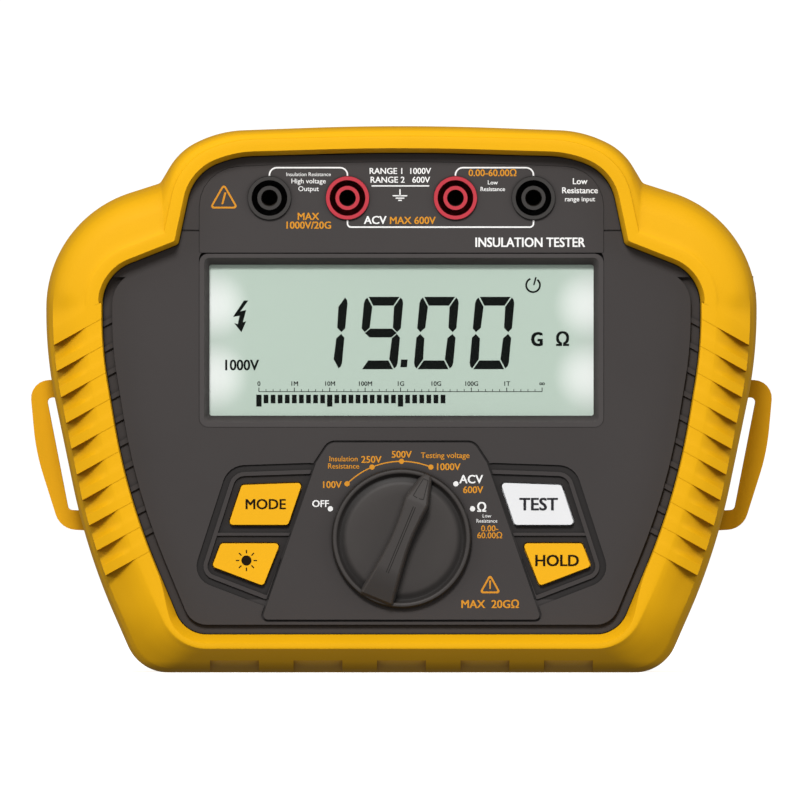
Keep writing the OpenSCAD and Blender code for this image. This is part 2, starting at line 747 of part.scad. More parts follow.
// Each lead leaves the bay through its top wall and runs forward to the board.
lead_r = 0.8;
module battery_lead(side) {
    x = side * 6.5;
    y = bay_floor + 2.5;
    z = bay_top + 8;
    translate([x, y, bay_top - 1.5]) cylinder(r = lead_r, h = z - bay_top + 1.5);
    bar(x, z, lead_r, board_back + 0.1, y);
    translate([x, y, z]) sphere(r = lead_r * 1.2);
    bar(x, z, lead_r * 1.5, board_back + 0.1, board_back + 2);
}
module battery_lead_red() color("red") battery_lead(-1);
module battery_lead_black() color("black") battery_lead(1);

module battery_cover() {
    color([0.27, 0.25, 0.25]) difference() {
        union() {
            plate(box_corners(cover_w, cover_bottom, cover_top, 3), cover_y, back_y + 0.1);
            // Grip ribs along the top edge.
            for (i = [0:4]) plate(box_corners(30, 76 + 2 * i, 76.9 + 2 * i, 0.4), back_y, back_y + 0.6);
        }
        both_sides() {
            bar(cover_screw_x, cover_screw_z, 1.6, 30, 50);
            bar(cover_screw_x, cover_screw_z, 2.7, cover_y + 1, 50);
        }
    }
}
module battery_cover_screws() {
    color("silver") for (s = [-1, 1])
        screw(s * cover_screw_x, cover_screw_z, 1.5, 2.5, 27, cover_y + 1, 1.1);
}

// ---- power inlet and its cover ----------------------------------------------------------------

module power_inlet() {
    color([0.12, 0.12, 0.12]) translate([0, inlet_y, inlet_z]) {
        difference() {
            union() {
                block([80, -4.9, -6], [90.8, 4.9, 6]);
                translate([90, 0, 0]) rotate([0, 90, 0]) cylinder(r = 4, h = 4.2);
            }
            translate([83, 0, 0]) rotate([0, 90, 0]) cylinder(r = 2.8, h = 20);
        }
        translate([82.5, 0, 0]) rotate([0, 90, 0]) cylinder(r = 1, h = 10);
    }
}
module inlet_cover() {
    barrel_l = 2 * ear_half - 0.4;
    color([0.95, 0.68, 0.05]) difference() {
        union() {
            intersection() {
                difference() {
                    plate(inset(outer, 0.1), -16.7, hinge_y - 1.55);
                    plate(inset(outer, 2.2), -20, 0);
                }
                block([85, -20, inlet_bottom], [100, 0, inlet_top]);
            }
            // Finger tab at the middle of the front edge.
            block([96, -16.9, inlet_z - 4.6], [side_x - 0.1, -14.5, inlet_z + 4.6]);
            translate([hinge_x, hinge_y, inlet_z - barrel_l / 2]) cylinder(r = 1.1, h = barrel_l);
            block([95.4, hinge_y - 1.7, inlet_z - barrel_l / 2],
                  [96.9, hinge_y, inlet_z + barrel_l / 2]);
        }
        translate([hinge_x, hinge_y, 80]) cylinder(r = 0.66, h = 40);
    }
}
module inlet_hinge_pin() {
    reach = ear_half + ear_w;
    color("silver") translate([hinge_x, hinge_y, inlet_z - reach]) cylinder(r = 0.6, h = 2 * reach);
}

// ---- nodes ------------------------------------------------------------------------------------

bumper();
strap_loop_left();
strap_loop_right();
front_case();
rear_case();
case_screws();
terminal_panel();
display_bezel();
display_window();
lcd_glass();
lcd_backlight();
lcd_connector_strips();
lcd_frame();
socket_output_black();
socket_output_red();
socket_input_red();
socket_input_black();
contact_output_black();
contact_output_red();
contact_input_red();
contact_input_black();
selector_knob();
selector_screw();
switch_rotor();
rotor_wipers();
detent_ring();
detent_balls();
detent_springs();
key_mode();
key_backlight();
key_test();
key_hold();
key_dome_mode();
key_dome_backlight();
key_dome_test();
key_dome_hold();
main_board();
board_screws();
hv_transformer();
hv_capacitors();
relays();
chips();
fuse();
fuse_clips();
buzzer();
battery_cells();
battery_spring_contacts();
battery_plate_contacts();
battery_lead_red();
battery_lead_black();
battery_cover();
battery_cover_screws();
power_inlet();
inlet_cover();
inlet_hinge_pin();
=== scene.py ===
"""Looks of the insulation resistance tester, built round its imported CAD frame.

Lengths in the tables and outlines are millimetres; mesh() turns them into metres.
"""
import math
from bisect import bisect_right

import bmesh
import bpy
from mathutils import Matrix, Vector


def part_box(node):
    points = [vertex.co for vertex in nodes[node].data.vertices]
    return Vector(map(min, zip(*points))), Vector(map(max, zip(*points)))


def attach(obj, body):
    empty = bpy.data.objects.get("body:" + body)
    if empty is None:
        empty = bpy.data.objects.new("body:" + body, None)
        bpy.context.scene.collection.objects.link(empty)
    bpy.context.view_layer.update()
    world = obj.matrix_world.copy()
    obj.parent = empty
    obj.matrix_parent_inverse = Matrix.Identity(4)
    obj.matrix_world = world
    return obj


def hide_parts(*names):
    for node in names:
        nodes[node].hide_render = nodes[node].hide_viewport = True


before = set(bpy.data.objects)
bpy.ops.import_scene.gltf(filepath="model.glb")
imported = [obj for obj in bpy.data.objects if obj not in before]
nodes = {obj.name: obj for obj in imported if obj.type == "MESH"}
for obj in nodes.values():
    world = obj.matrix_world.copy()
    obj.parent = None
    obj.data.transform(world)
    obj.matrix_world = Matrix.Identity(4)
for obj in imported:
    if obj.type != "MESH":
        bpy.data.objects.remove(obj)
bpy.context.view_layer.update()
MM = 0.001


def low(node):
    """Lowest corner of a CAD node in millimetres."""
    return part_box(node)[0] / MM


def high(node):
    """Highest corner of a CAD node in millimetres."""
    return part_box(node)[1] / MM


# ---- sizes taken from the frame ---------------------------------------------------------------

BODY_W = high("bumper").x - low("bumper").x
BODY_H = high("bumper").z
LIP = low("bumper").y
RIM = high("bumper").y
PANEL = low("terminal_panel").y + 0.1
DIAL = PANEL - 0.6
GLASS = low("lcd_glass").y
KNOB_LOW = low("selector_knob")
KNOB_HIGH = high("selector_knob")
KNOB_R = (KNOB_HIGH.x - KNOB_LOW.x) / 2
DIAL_Z = (KNOB_HIGH.z + KNOB_LOW.z) / 2
DIAL_STEP = 22.5      # degrees from one position to the next
DOT_RADIUS = 21.1     # from the dial's middle to the dots round the knob
SOCKETS = ["output_black", "output_red", "input_red", "input_black"]
SOCKET_X = [(low("socket_" + s).x + high("socket_" + s).x) / 2 for s in SOCKETS]
SOCKET_Z = (low("socket_input_red").z + high("socket_input_red").z) / 2
SOCKET_R = 6.0        # outer radius of a socket's shroud
PRINT = 0.03          # thickness of printed ink
INK_GAP = 0.01        # how far ink stands off its surface
LAYER = 0.003         # how far each overprint lies in front of the last
TRAY_SIDE = 58        # the key trays' reach to each side
TRAY_LOW = 20         # the key trays' lower end
TRAY_SHADE = 0.5      # share of its colour that a tray's floor loses to painted shade
LAMP_Z = 9.8          # the display's lamps above and below its middle
LAMP_REACH_X = 11.5
LAMP_REACH_Z = 10.5


# ---- outlines: (x, z, corner radius), the CAD part's own with a rounder corner to the head -----

SX = BODY_W / 195
SZ = BODY_H / 149.9
OUTER_HALF = [
    (71.9 * SX, 0, 12), (86.4 * SX, 33.3, 180), (97.5 * SX, 86.6, 120), (97.5 * SX, 124.3, 33),
    (66.2 * SX, 134.3 * SZ, 2), (60.8 * SX, 143.4 * SZ, 17.5), (49.5 * SX, 148.6 * SZ, 31),
]
OPENING_HALF = [
    (59.4, 10.5, 9), (75.4, 49, 180), (82, 89, 110), (82, 109.3, 12), (61.2, 117.5, 1.5),
    (57, 137.3, 13.2), (45, 141.6, 29),
]


def whole(half, top):
    """A closed corner list from its right half and its top corner."""
    return half + [top] + [(-x, z, r) for x, z, r in reversed(half)]


OUTER = whole(OUTER_HALF, (0, 150.4 * SZ, 700))
OPENING = whole(OPENING_HALF, (0, 142.9, 700))


def unit(v):
    return v / v.length


def arc_at(a, b, c, radius, steps):
    """Points of the round corner at b between the straight runs from a and to c."""
    u, v = unit(a - b), unit(c - b)
    half = math.acos(max(-1, min(1, u.dot(v)))) / 2
    middle = b + unit(u + v) * radius / math.sin(half)
    first = b + u * radius / math.tan(half) - middle
    last = b + v * radius / math.tan(half) - middle
    start = math.atan2(first.y, first.x)
    sweep = (math.atan2(last.y, last.x) - start + math.pi) % (2 * math.pi) - math.pi
    angles = [start + sweep * i / steps for i in range(steps + 1)]
    return [middle + radius * Vector((math.cos(a), math.sin(a))) for a in angles]


def rounded(corners, steps=6):
    """The outline of a corner list as a list of points."""
    flat = [Vector((x, z)) for x, z, _ in corners]
    count = len(corners)
    return [p for i in range(count)
            for p in arc_at(flat[i - 1], flat[i], flat[(i + 1) % count], corners[i][2], steps)]


def inset(corners, d):
    """The corner list moved inwards by d, or outwards where d is negative."""
    flat = [Vector((x, z)) for x, z, _ in corners]
    count = len(corners)
    moved = []
    for i, (_, _, radius) in enumerate(corners):
        before, after = unit(flat[i] - flat[i - 1]), unit(flat[(i + 1) % count] - flat[i])
        n1, n2 = Vector((-before.y, before.x)), Vector((-after.y, after.x))
        bulge = 1 if before.x * after.y - before.y * after.x > 0 else -1
        p = flat[i] + d * (n1 + n2) / (1 + n1.dot(n2))
        moved.append((p.x, p.y, max(radius - bulge * d, 0.3)))
    return moved


# ---- mesh helpers -----------------------------------------------------------------------------

def add(name, data):
    """A new object in the scene."""
    piece = bpy.data.objects.new(name, data)
    bpy.context.scene.collection.objects.link(piece)
    return piece


def mesh(name, points, faces, material, smooth=True):
    """A mesh object from points in millimetres."""
    data = bpy.data.meshes.new(name)
    data.from_pydata([Vector(p) * MM for p in points], [], faces)
    data.update()
    work = bmesh.new()
    work.from_mesh(data)
    bmesh.ops.recalc_face_normals(work, faces=work.faces)
    work.to_mesh(data)
    work.free()
    piece = add(name, data)
    data.materials.append(material)
    for polygon in data.polygons:
        polygon.use_smooth = smooth
    return piece


def sharpen(piece, degrees):
    """Smooth shading with hard edges where faces meet at more than this angle."""
    piece.data.set_sharp_from_angle(angle=math.radians(degrees))


def bevel(piece, width, segments=2, degrees=30):
    """Rounds a piece's edges without changing its mesh data."""
    merge = piece.modifiers.new("flat_faces", "DECIMATE")
    merge.decimate_type = "DISSOLVE"
    merge.angle_limit = math.radians(1)
    edge = piece.modifiers.new("round_edges", "BEVEL")
    edge.width = width * MM
    edge.segments = segments
    edge.limit_method = "ANGLE"
    edge.angle_limit = math.radians(degrees)
    edge.harden_normals = True


def loft(rings, closed=True):
    """Points and faces of a tube through rings of equal length; its ends meet if closed."""
    points = [p for ring in rings for p in ring]
    n, k = len(rings[0]), len(rings)
    faces = []
    for i in range(k if closed else k - 1):
        for j in range(n):
            a, b = i * n + j, i * n + (j + 1) % n
            c, d = ((i + 1) % k) * n + (j + 1) % n, ((i + 1) % k) * n + j
            faces.append((a, b, c, d))
    return points, faces


def to_mesh(piece, material):
    """Turns a curve or text object into mesh data that stays where the object stood."""
    bpy.context.view_layer.update()
    data = bpy.data.meshes.new_from_object(piece)
    data.transform(piece.matrix_world)
    curve = piece.data
    bpy.data.objects.remove(piece)
    bpy.data.curves.remove(curve)
    data.materials.clear()
    data.materials.append(material)
    return data


def flat_curve(outlines, front, back):
    """A flat plate from closed outlines; an outline inside another is a hole."""
    curve = bpy.data.curves.new("plate", "CURVE")
    curve.dimensions = "2D"
    curve.fill_mode = "BOTH"
    curve.extrude = (back - front) / 2 * MM
    for points in outlines:
        spline = curve.splines.new("POLY")
        spline.points.add(len(points) - 1)
        for slot, p in zip(spline.points, points):
            slot.co = (p[0] * MM, p[1] * MM, 0, 1)
        spline.use_cyclic_u = True
    piece = add("plate", curve)
    middle = Matrix.Translation((0, (front + back) / 2 * MM, 0))
    piece.matrix_world = middle @ Matrix.Rotation(math.pi / 2, 4, "X")
    return piece


def join(name, datas, material):
    """One object from several meshes that share a material."""
    work = bmesh.new()
    for data in datas:
        work.from_mesh(data)
        bpy.data.meshes.remove(data)
    result = bpy.data.meshes.new(name)
    work.to_mesh(result)
    work.free()
    result.materials.append(material)
    return add(name, result)


# ---- materials --------------------------------------------------------------------------------

def srgb(code):
    """Linear colour from a six-digit sRGB code."""
    parts = [int(code[i:i + 2], 16) / 255 for i in (0, 2, 4)]
    return [p / 12.92 if p <= 0.04045 else ((p + 0.055) / 1.055) ** 2.4 for p in parts] + [1]


def shade(colour, factor):
    return [min(1, c * factor) for c in colour[:3]] + [1]


def new_material(name):
    material = bpy.data.materials.new(name)
    material.use_nodes = True
    tree = material.node_tree
    return material, tree, tree.nodes["Principled BSDF"]


def noise(tree, scale, detail):
    """A noise texture on the object's own coordinates; scale is in waves per metre."""
    place = tree.nodes.new("ShaderNodeTexCoord")
    texture = tree.nodes.new("ShaderNodeTexNoise")
    texture.inputs["Scale"].default_value = scale
    texture.inputs["Detail"].default_value = detail
    tree.links.new(place.outputs["Object"], texture.inputs["Vector"])
    return texture.outputs["Fac"]


def ramp(tree, value, stops):
    """A colour ramp; stops are (place, colour) pairs."""
    node = tree.nodes.new("ShaderNodeValToRGB")
    while len(node.color_ramp.elements) < len(stops):
        node.color_ramp.elements.new(0.5)
    for element, (place, colour) in zip(node.color_ramp.elements, stops):
        element.position = place
        element.color = colour
    tree.links.new(value, node.inputs["Fac"])
    return node.outputs["Color"]


def mottled(tree, code, scale, detail, darker, lighter):
    """A colour that drifts between a darker and a lighter shade of itself."""
    colour = srgb(code)
    tones = [(0.3, shade(colour, darker)), (0.7, shade(colour, lighter))]
    return ramp(tree, noise(tree, scale, detail), tones)


def maths(tree, operation, a, b=None):
    """The result of a Math node on sockets or plain numbers."""
    node = tree.nodes.new("ShaderNodeMath")
    node.operation = operation
    for socket, value in zip(node.inputs, (a, b)):
        if isinstance(value, (int, float)):
            socket.default_value = value
        elif value is not None:
            tree.links.new(value, socket)
    return node.outputs["Value"]


def axis_value(tree, axis):
    """One of a piece's own coordinates."""
    place = tree.nodes.new("ShaderNodeTexCoord")
    split = tree.nodes.new("ShaderNodeSeparateXYZ")
    tree.links.new(place.outputs["Object"], split.inputs["Vector"])
    return split.outputs[axis]


def darkened(tree, colour, factor):
    """A colour times a factor that varies over the surface."""
    scale = tree.nodes.new("ShaderNodeVectorMath")
    scale.operation = "SCALE"
    tree.links.new(colour, scale.inputs["Vector"])
    tree.links.new(factor, scale.inputs["Scale"])
    return scale.outputs["Vector"]


def mapped(tree, value, lowest, highest, start, end):
    """A value from lowest to highest mapped to the range from start to end, held at both ends."""
    node = tree.nodes.new("ShaderNodeMapRange")
    node.inputs["From Min"].default_value = lowest
    node.inputs["From Max"].default_value = highest
    node.inputs["To Min"].default_value = start
    node.inputs["To Max"].default_value = end
    tree.links.new(value, node.inputs["Value"])
    return node.outputs["Result"]


def uneven(tree, scale, detail, lowest, highest):
    """Roughness that drifts between two values."""
    return mapped(tree, noise(tree, scale, detail), 0, 1, lowest, highest)


def painted_crease_shade(tree, reach, darkest):
    """Painted shade: 1 on open faces, falling to the darkest share in corners and grooves within the
    reach.
    """
    node = tree.nodes.new("ShaderNodeAmbientOcclusion")
    node.samples = 8
    node.inputs["Distance"].default_value = reach * MM
    return mapped(tree, node.outputs["AO"], 0.25, 0.95, darkest, 1)


def moulded(name, code, rough, grain=2600, grain_depth=0.00002, variation=0.05, specular=0.5,
            recess=None, creases=None):
    """Moulded plastic or rubber: soft colour drift, uneven gloss and a fine spark-eroded grain.

    recess is (front, deep, darkest): painted shade, the colour darkens from the front depth to the deep
    one.
    creases is (reach, darkest): painted shade, the colour darkens in corners.
    """
    material, tree, shader = new_material(name)
    drift = mottled(tree, code, 28, 4, 1 - variation, 1 + variation)
    if recess:
        front, deep, darkest = recess
        fall = mapped(tree, axis_value(tree, "Y"), front * MM, deep * MM, 1, darkest)
        drift = darkened(tree, drift, fall)
    if creases:
        drift = darkened(tree, drift, painted_crease_shade(tree, *creases))
    tree.links.new(drift, shader.inputs["Base Color"])
    tree.links.new(uneven(tree, 90, 3, rough - 0.05, rough + 0.06), shader.inputs["Roughness"])
    shader.inputs["Specular IOR Level"].default_value = specular
    bump = tree.nodes.new("ShaderNodeBump")
    bump.inputs["Strength"].default_value = 0.6
    bump.inputs["Distance"].default_value = grain_depth
    tree.links.new(noise(tree, grain, 2), bump.inputs["Height"])
    tree.links.new(bump.outputs["Normal"], shader.inputs["Normal"])
    return material


def case_material():
    """The case's plastic, with painted shade on the floors of the two key trays and in its corners."""
    material = moulded("dark_grey_case", "3E3A39", 0.6, grain=3200, variation=0.04, specular=0.2,
                       creases=(1.2, 0.45))
    tree = material.node_tree
    base = tree.nodes["Principled BSDF"].inputs["Base Color"]
    colour = base.links[0].from_socket
    # Painted shade on the tray floors, which lie between the dial and the flanks, above the lower edge of
    # the panel.
    aside = maths(tree, "ABSOLUTE", axis_value(tree, "X"))
    near = mapped(tree, aside, TRAY_SIDE * MM, (TRAY_SIDE + 0.2) * MM, 1, 0)
    above = mapped(tree, axis_value(tree, "Z"), TRAY_LOW * MM, (TRAY_LOW + 0.2) * MM, 0, 1)
    deep = mapped(tree, axis_value(tree, "Y"), (PANEL + 0.4) * MM, (PANEL + 0.6) * MM, 0, TRAY_SHADE)
    share = maths(tree, "MULTIPLY", maths(tree, "MULTIPLY", deep, near), above)
    tree.links.new(darkened(tree, colour, mapped(tree, share, 0, 1, 1, 0)), base)
    return material


def metal(name, code, rough):
    """Plated metal: a slight drift of colour and an uneven gloss."""
    material, tree, shader = new_material(name)
    tree.links.new(mottled(tree, code, 160, 3, 0.9, 1.06), shader.inputs["Base Color"])
    shader.inputs["Metallic"].default_value = 1
    tree.links.new(uneven(tree, 900, 2, rough - 0.06, rough + 0.08), shader.inputs["Roughness"])
    return material


def ink(name, code):
    """Screen-printed ink: nearly flat, with a little uneven cover."""
    material, tree, shader = new_material(name)
    tree.links.new(mottled(tree, code, 1500, 2, 0.94, 1.02), shader.inputs["Base Color"])
    shader.inputs["Roughness"].default_value = 0.7
    shader.inputs["Specular IOR Level"].default_value = 0.06
    return material


def lamp_glow(tree, aside, up, half, lamp_z):
    """1 at a lamp at the end of the display, falling to 0 round it."""
    dz = maths(tree, "DIVIDE", maths(tree, "SUBTRACT", up, lamp_z), LAMP_REACH_Z * MM)
    dx = maths(tree, "DIVIDE", maths(tree, "SUBTRACT", half, aside), LAMP_REACH_X * MM)
    squared = maths(tree, "ADD", maths(tree, "MULTIPLY", dz, dz), maths(tree, "MULTIPLY", dx, dx))
    fall = maths(tree, "SUBTRACT", 1.0, squared)
    fall.node.use_clamp = True
    return maths(tree, "POWER", fall, 1.6)


def display_material():
    """Backlit liquid crystal: pale green grey, with light spots from the lamps at both ends."""
    material, tree, shader = new_material("lcd_back")
    half = (high("lcd_glass").x - 1) * MM
    middle = (low("lcd_glass").z + high("lcd_glass").z) / 2
    aside = maths(tree, "ABSOLUTE", axis_value(tree, "X"))
    up = axis_value(tree, "Z")
    tones = [(0.0, srgb("B4C5B8")), (0.8, srgb("B6C7BA")), (1.0, srgb("C3D1C6"))]
    base = ramp(tree, maths(tree, "DIVIDE", aside, half), tones)
    # Two lamps at each end: the glow is that of the nearer one.
    lower, upper = (lamp_glow(tree, aside, up, half, (middle + dz) * MM) for dz in (-LAMP_Z, LAMP_Z))
    glow = maths(tree, "MAXIMUM", lower, upper)
    mix = tree.nodes.new("ShaderNodeMix")
    mix.data_type = "RGBA"
    mix.inputs["B"].default_value = srgb("F6FAF6")
    tree.links.new(maths(tree, "MULTIPLY", glow, 0.85), mix.inputs["Factor"])
    tree.links.new(base, mix.inputs["A"])
    tree.links.new(mix.outputs["Result"], shader.inputs["Base Color"])
    tree.links.new(mix.outputs["Result"], shader.inputs["Emission Color"])
    shader.inputs["Emission Strength"].default_value = 0.1
    shader.inputs["Roughness"].default_value = 0.5
    shader.inputs["Specular IOR Level"].default_value = 0.2
    return material


def window_material():
    """Clear acrylic: lets the display through and keeps a faint gloss."""
    material, tree, shader = new_material("clear_acrylic")
    shader.inputs["Base Color"].default_value = srgb("202422")
    shader.inputs["Alpha"].default_value = 0.03
    tree.links.new(uneven(tree, 300, 2, 0.04, 0.09), shader.inputs["Roughness"])
    return material


def dish_material():
    """Knob plastic with painted shade: a dark band inside the rim of the dish, a painted highlight on the
    rim's top and painted shade in corners.
    """
    material, tree, shader = new_material("knob_dish")
    plastic = mottled(tree, "3F3B39", 40, 3, 0.95, 1.05)
    flat = tree.nodes.new("ShaderNodeCombineXYZ")
    tree.links.new(axis_value(tree, "X"), flat.inputs["X"])
    tree.links.new(axis_value(tree, "Z"), flat.inputs["Y"])
    reach = tree.nodes.new("ShaderNodeVectorMath")
    reach.operation = "LENGTH"
    tree.links.new(flat.outputs["Vector"], reach.inputs[0])
    share = mapped(tree, reach.outputs["Value"], 0, KNOB_R * MM, 0, 1)
    # Painted shade and highlight by distance from the axis: dark inside the rim, lighter on the rim's
    # top, dark at the outer edge.
    tones = ((0.0, 1), (0.775, 1), (0.84, 0.5), (0.92, 0.5), (0.935, 1.05), (0.965, 1.05), (0.982, 0.35))
    painted_shade_and_highlight = ramp(tree, share, [(place, (tone, tone, tone, 1)) for place, tone in tones])
    plastic = darkened(tree, plastic, painted_crease_shade(tree, 1.5, 0.4))
    tree.links.new(darkened(tree, plastic, painted_shade_and_highlight), shader.inputs["Base Color"])
    tree.links.new(uneven(tree, 120, 3, 0.5, 0.6), shader.inputs["Roughness"])
    shader.inputs["Specular IOR Level"].default_value = 0.25
    return material


M = {
    # The bumper's rubber carries painted shade: darker with depth behind the lip and in its creases.
    "bumper": moulded("yellow_rubber", "EAAD08", 0.62, grain=2400, grain_depth=0.00003, variation=0.03,
                      specular=0.14, recess=(LIP + 0.2, LIP + 6, 0.8), creases=(3.2, 0.55)),
    # A darker copy of the bumper's rubber for the strap loops: painted shade, with painted crease shade
    # as well.
    "loop": moulded("loop_rubber_painted_shade", "DFA30C", 0.62, grain=2400, grain_depth=0.00003, variation=0.03,
                    specular=0.14, creases=(3, 0.55)),
    "case": case_material(),
    "case_back": moulded("dark_grey_back", "3C3836", 0.6, grain=2400, variation=0.05, specular=0.25),
    # The terminal panel carries painted shade in its corners and grooves.
    "panel": moulded("dark_grey_panel", "403C3B", 0.6, grain=3600, variation=0.04, specular=0.2,
                     creases=(1, 0.4)),
    # The bezel carries painted shade: darker with depth towards the sunken display.
    "bezel": moulded("dark_bezel", "454140", 0.55, grain=3000, variation=0.04, specular=0.25,
                     recess=(PANEL, PANEL + 1.8, 0.5)),
    # The knob's grip carries painted shade in its corners.
    "knob": moulded("knob_grey", "403C3A", 0.55, grain=2800, variation=0.05, specular=0.25,
                    creases=(1.5, 0.4)),
    "dish": dish_material(),
    "socket_black": moulded("socket_black_nylon", "34312F", 0.5, grain=2600, specular=0.35),
    "socket_red": moulded("socket_red_nylon", "BE3340", 0.5, grain=2600, specular=0.3),
    # Painted shade: a dark tone for the shade inside the knob pointer's engraved grooves.
    "hole": moulded("pointer_groove_shade", "24211F", 0.7, grain=2600, specular=0.2),
    "key_yellow": moulded("key_yellow", "EFAF0C", 0.5, grain=3000, variation=0.03, specular=0.2),
    "key_white": moulded("key_white", "E6E6E7", 0.5, grain=3000, variation=0.02, specular=0.25),
    "silicone": moulded("grey_silicone", "B8B4AE", 0.7, specular=0.3),
    "acetal": moulded("natural_acetal", "E6E2D4", 0.45),
    "white_plastic": moulded("milky_plastic", "F0F0EC", 0.4),
    "black_plastic": moulded("black_component", "1D1C1B", 0.5),
    "blue_plastic": moulded("blue_component", "1F2E78", 0.4),
    "board": moulded("solder_mask", "12502C", 0.35, grain=900),
    "cell": moulded("cell_sleeve", "2F5A3A", 0.35, grain=600),
    "wire_red": moulded("red_insulation", "B81E17", 0.45),
    "wire_black": moulded("black_insulation", "151515", 0.45),
    "fuse": moulded("fuse_tube", "E8E6E0", 0.2, grain=500),
    "steel": metal("zinc_plate", "C9CBCE", 0.34),
    "brass": metal("contact_brass", "D7B266", 0.3),
    # Painted shade: the contacts deep in the sockets are made dark for the shade in the holes.
    "sleeve": metal("shaded_contact_sleeve", "2B2621", 0.5),
    "white_ink": ink("white_ink", "F3F2F0"),
    "orange_ink": ink("orange_ink", "D8922F"),
    "black_ink": ink("black_ink", "20160A"),
    "grey_ink": ink("grey_ink", "2C2C30"),
    "segment": ink("lcd_segment", "0D110F"),
    "lcd": display_material(),
    "window": window_material(),
}


def paint(node, material):
    """Gives a CAD node one of the materials above."""
    data = nodes[node].data
    data.materials.clear()
    data.materials.append(M[material])
    return nodes[node]


# ---- bumper -----------------------------------------------------------------------------------

RIB_SLOPE = 29             # degrees that the grip ribs rise towards the panel
RIB_COUNT = 10
RIB_PITCH = 7.2            # along the edge of the bumper
RIB_BAND = 0.38            # share of the pitch that a rib takes up
RIB_TOP_Z = 88.9           # outer end of the highest rib's lower edge
SLOPE_W = 2.4              # width of the lip's inner slope
CREST_W = 4.4              # distance from the opening to the outer side of the lip's crest


def half_line(corners, steps=40):
    """The right half of an outline from bottom to top centre: points, lengths and corner spans."""
    flat = [Vector((x, z)) for x, z, _ in corners]
    count = len(corners)
    line = [Vector((0, flat[0].y))]
    spans = []
    for i in range((count + 1) // 2):
        arc = arc_at(flat[i - 1], flat[i], flat[(i + 1) % count], corners[i][2], steps)
        if i == (count - 1) // 2:
            arc = arc[:steps // 2 + 1]
        spans.append((len(line), len(line) + len(arc) - 1))
        line += arc
    lengths = [0]
    for a, b in zip(line, line[1:]):
        lengths.append(lengths[-1] + (b - a).length)
    return line, lengths, spans


def along(rail, distance):
    """The point at a distance along a half line."""
    line, lengths, _ = rail
    after = max(1, min(bisect_right(lengths, distance), len(line) - 1))
    before = after - 1
    step = lengths[after] - lengths[before]
    t = 0 if step == 0 else (distance - lengths[before]) / step
    return line[before].lerp(line[after], max(0, min(1, t)))


def crossing(rail, test):
    """The distance at which test(point) turns true along the rail."""
    lo, hi = 0, rail[1][-1]
    for _ in range(40):
        mid = (lo + hi) / 2
        if test(along(rail, mid)):
            hi = mid
        else:
            lo = mid
    return hi


def rib_line(outer_point):
    """Test for being above the slanted line that starts at a point of the outer edge."""
    rise = math.tan(math.radians(RIB_SLOPE))
    return lambda p: p.y - outer_point.y >= (outer_point.x - p.x) * rise


def interpolate(knots, t):
    """The value at t on the straight runs between (t, value) knots."""
    for (t0, v0), (t1, v1) in zip(knots, knots[1:]):
        if t <= t1:
            u = 0 if t1 == t0 else (t - t0) / (t1 - t0)
            return v0 + (v1 - v0) * u
    return knots[-1][1]


def smoothstep(a, b, t):
    u = max(0.0, min(1.0, (t - a) / (b - a)))
    return u * u * (3 - 2 * u)


# Depth behind the crest, as a share of the fall from crest to side wall, at shares of the width.
ROUND_SECTION = [(0, 0), (0.05, 0.026), (0.12, 0.042), (0.3, 0.065), (0.5, 0.1), (0.7, 0.19),
                 (0.82, 0.3), (0.91, 0.45), (0.97, 0.67), (1, 1)]
CHIN_SECTION = [(0, 0), (0.1, 0.1), (0.35, 0.3), (0.6, 0.48), (0.85, 0.66), (0.95, 0.78), (1, 1)]
FLANK_SECTION = [(0, 0.01), (0.1, 0.045), (0.2, 0.095), (0.35, 0.175), (0.55, 0.3), (0.83, 0.45),
                 (0.93, 0.62), (1, 1)]
RIB_SECTION = [(0, 0), (0.2, 0.03), (0.35, 0.06), (0.83, 0.19), (0.84, 0.2)]
RIB_END = 0.832            # share of the width where the ribs end
SIDE_START = -22.0         # where the front slope meets the side wall
SHELF = -17.7              # back of the lip
NOTCH_PITCH = 22.9
NOTCH_HALF = 6.7
NOTCH = [(-45, -1), (-17.5, -1), (-28.9, 3.4), (-45, 3.4)]    # (y, z), slanted at the back
COVER_GAP = 0.3            # clearance round the side cover
WINDOW_BACK = -0.3         # leaves room for the hinge behind the cover
WINDOW_INSIDE, WINDOW_OUTSIDE = 88, 110
WIDTH_SHARES = [0, 0.025, 0.05, 0.085, 0.12, 0.2, 0.27, 0.35, 0.42, 0.5, 0.58, 0.66, 0.74, 0.8,
                0.83, 0.838, 0.86, 0.885, 0.91, 0.93, 0.95, 0.97, 0.985, 1]


def evenly(anchors, rib_height):
    """Stations from anchor to anchor: an anchor is (places on the rails, steps up to it)."""
    stations = []
    for (a, _), (b, count) in zip(anchors, anchors[1:]):
        for i in range(count):
            t = i / count
            stations.append(([p + (q - p) * t for p, q in zip(a, b)], rib_height))
    return stations


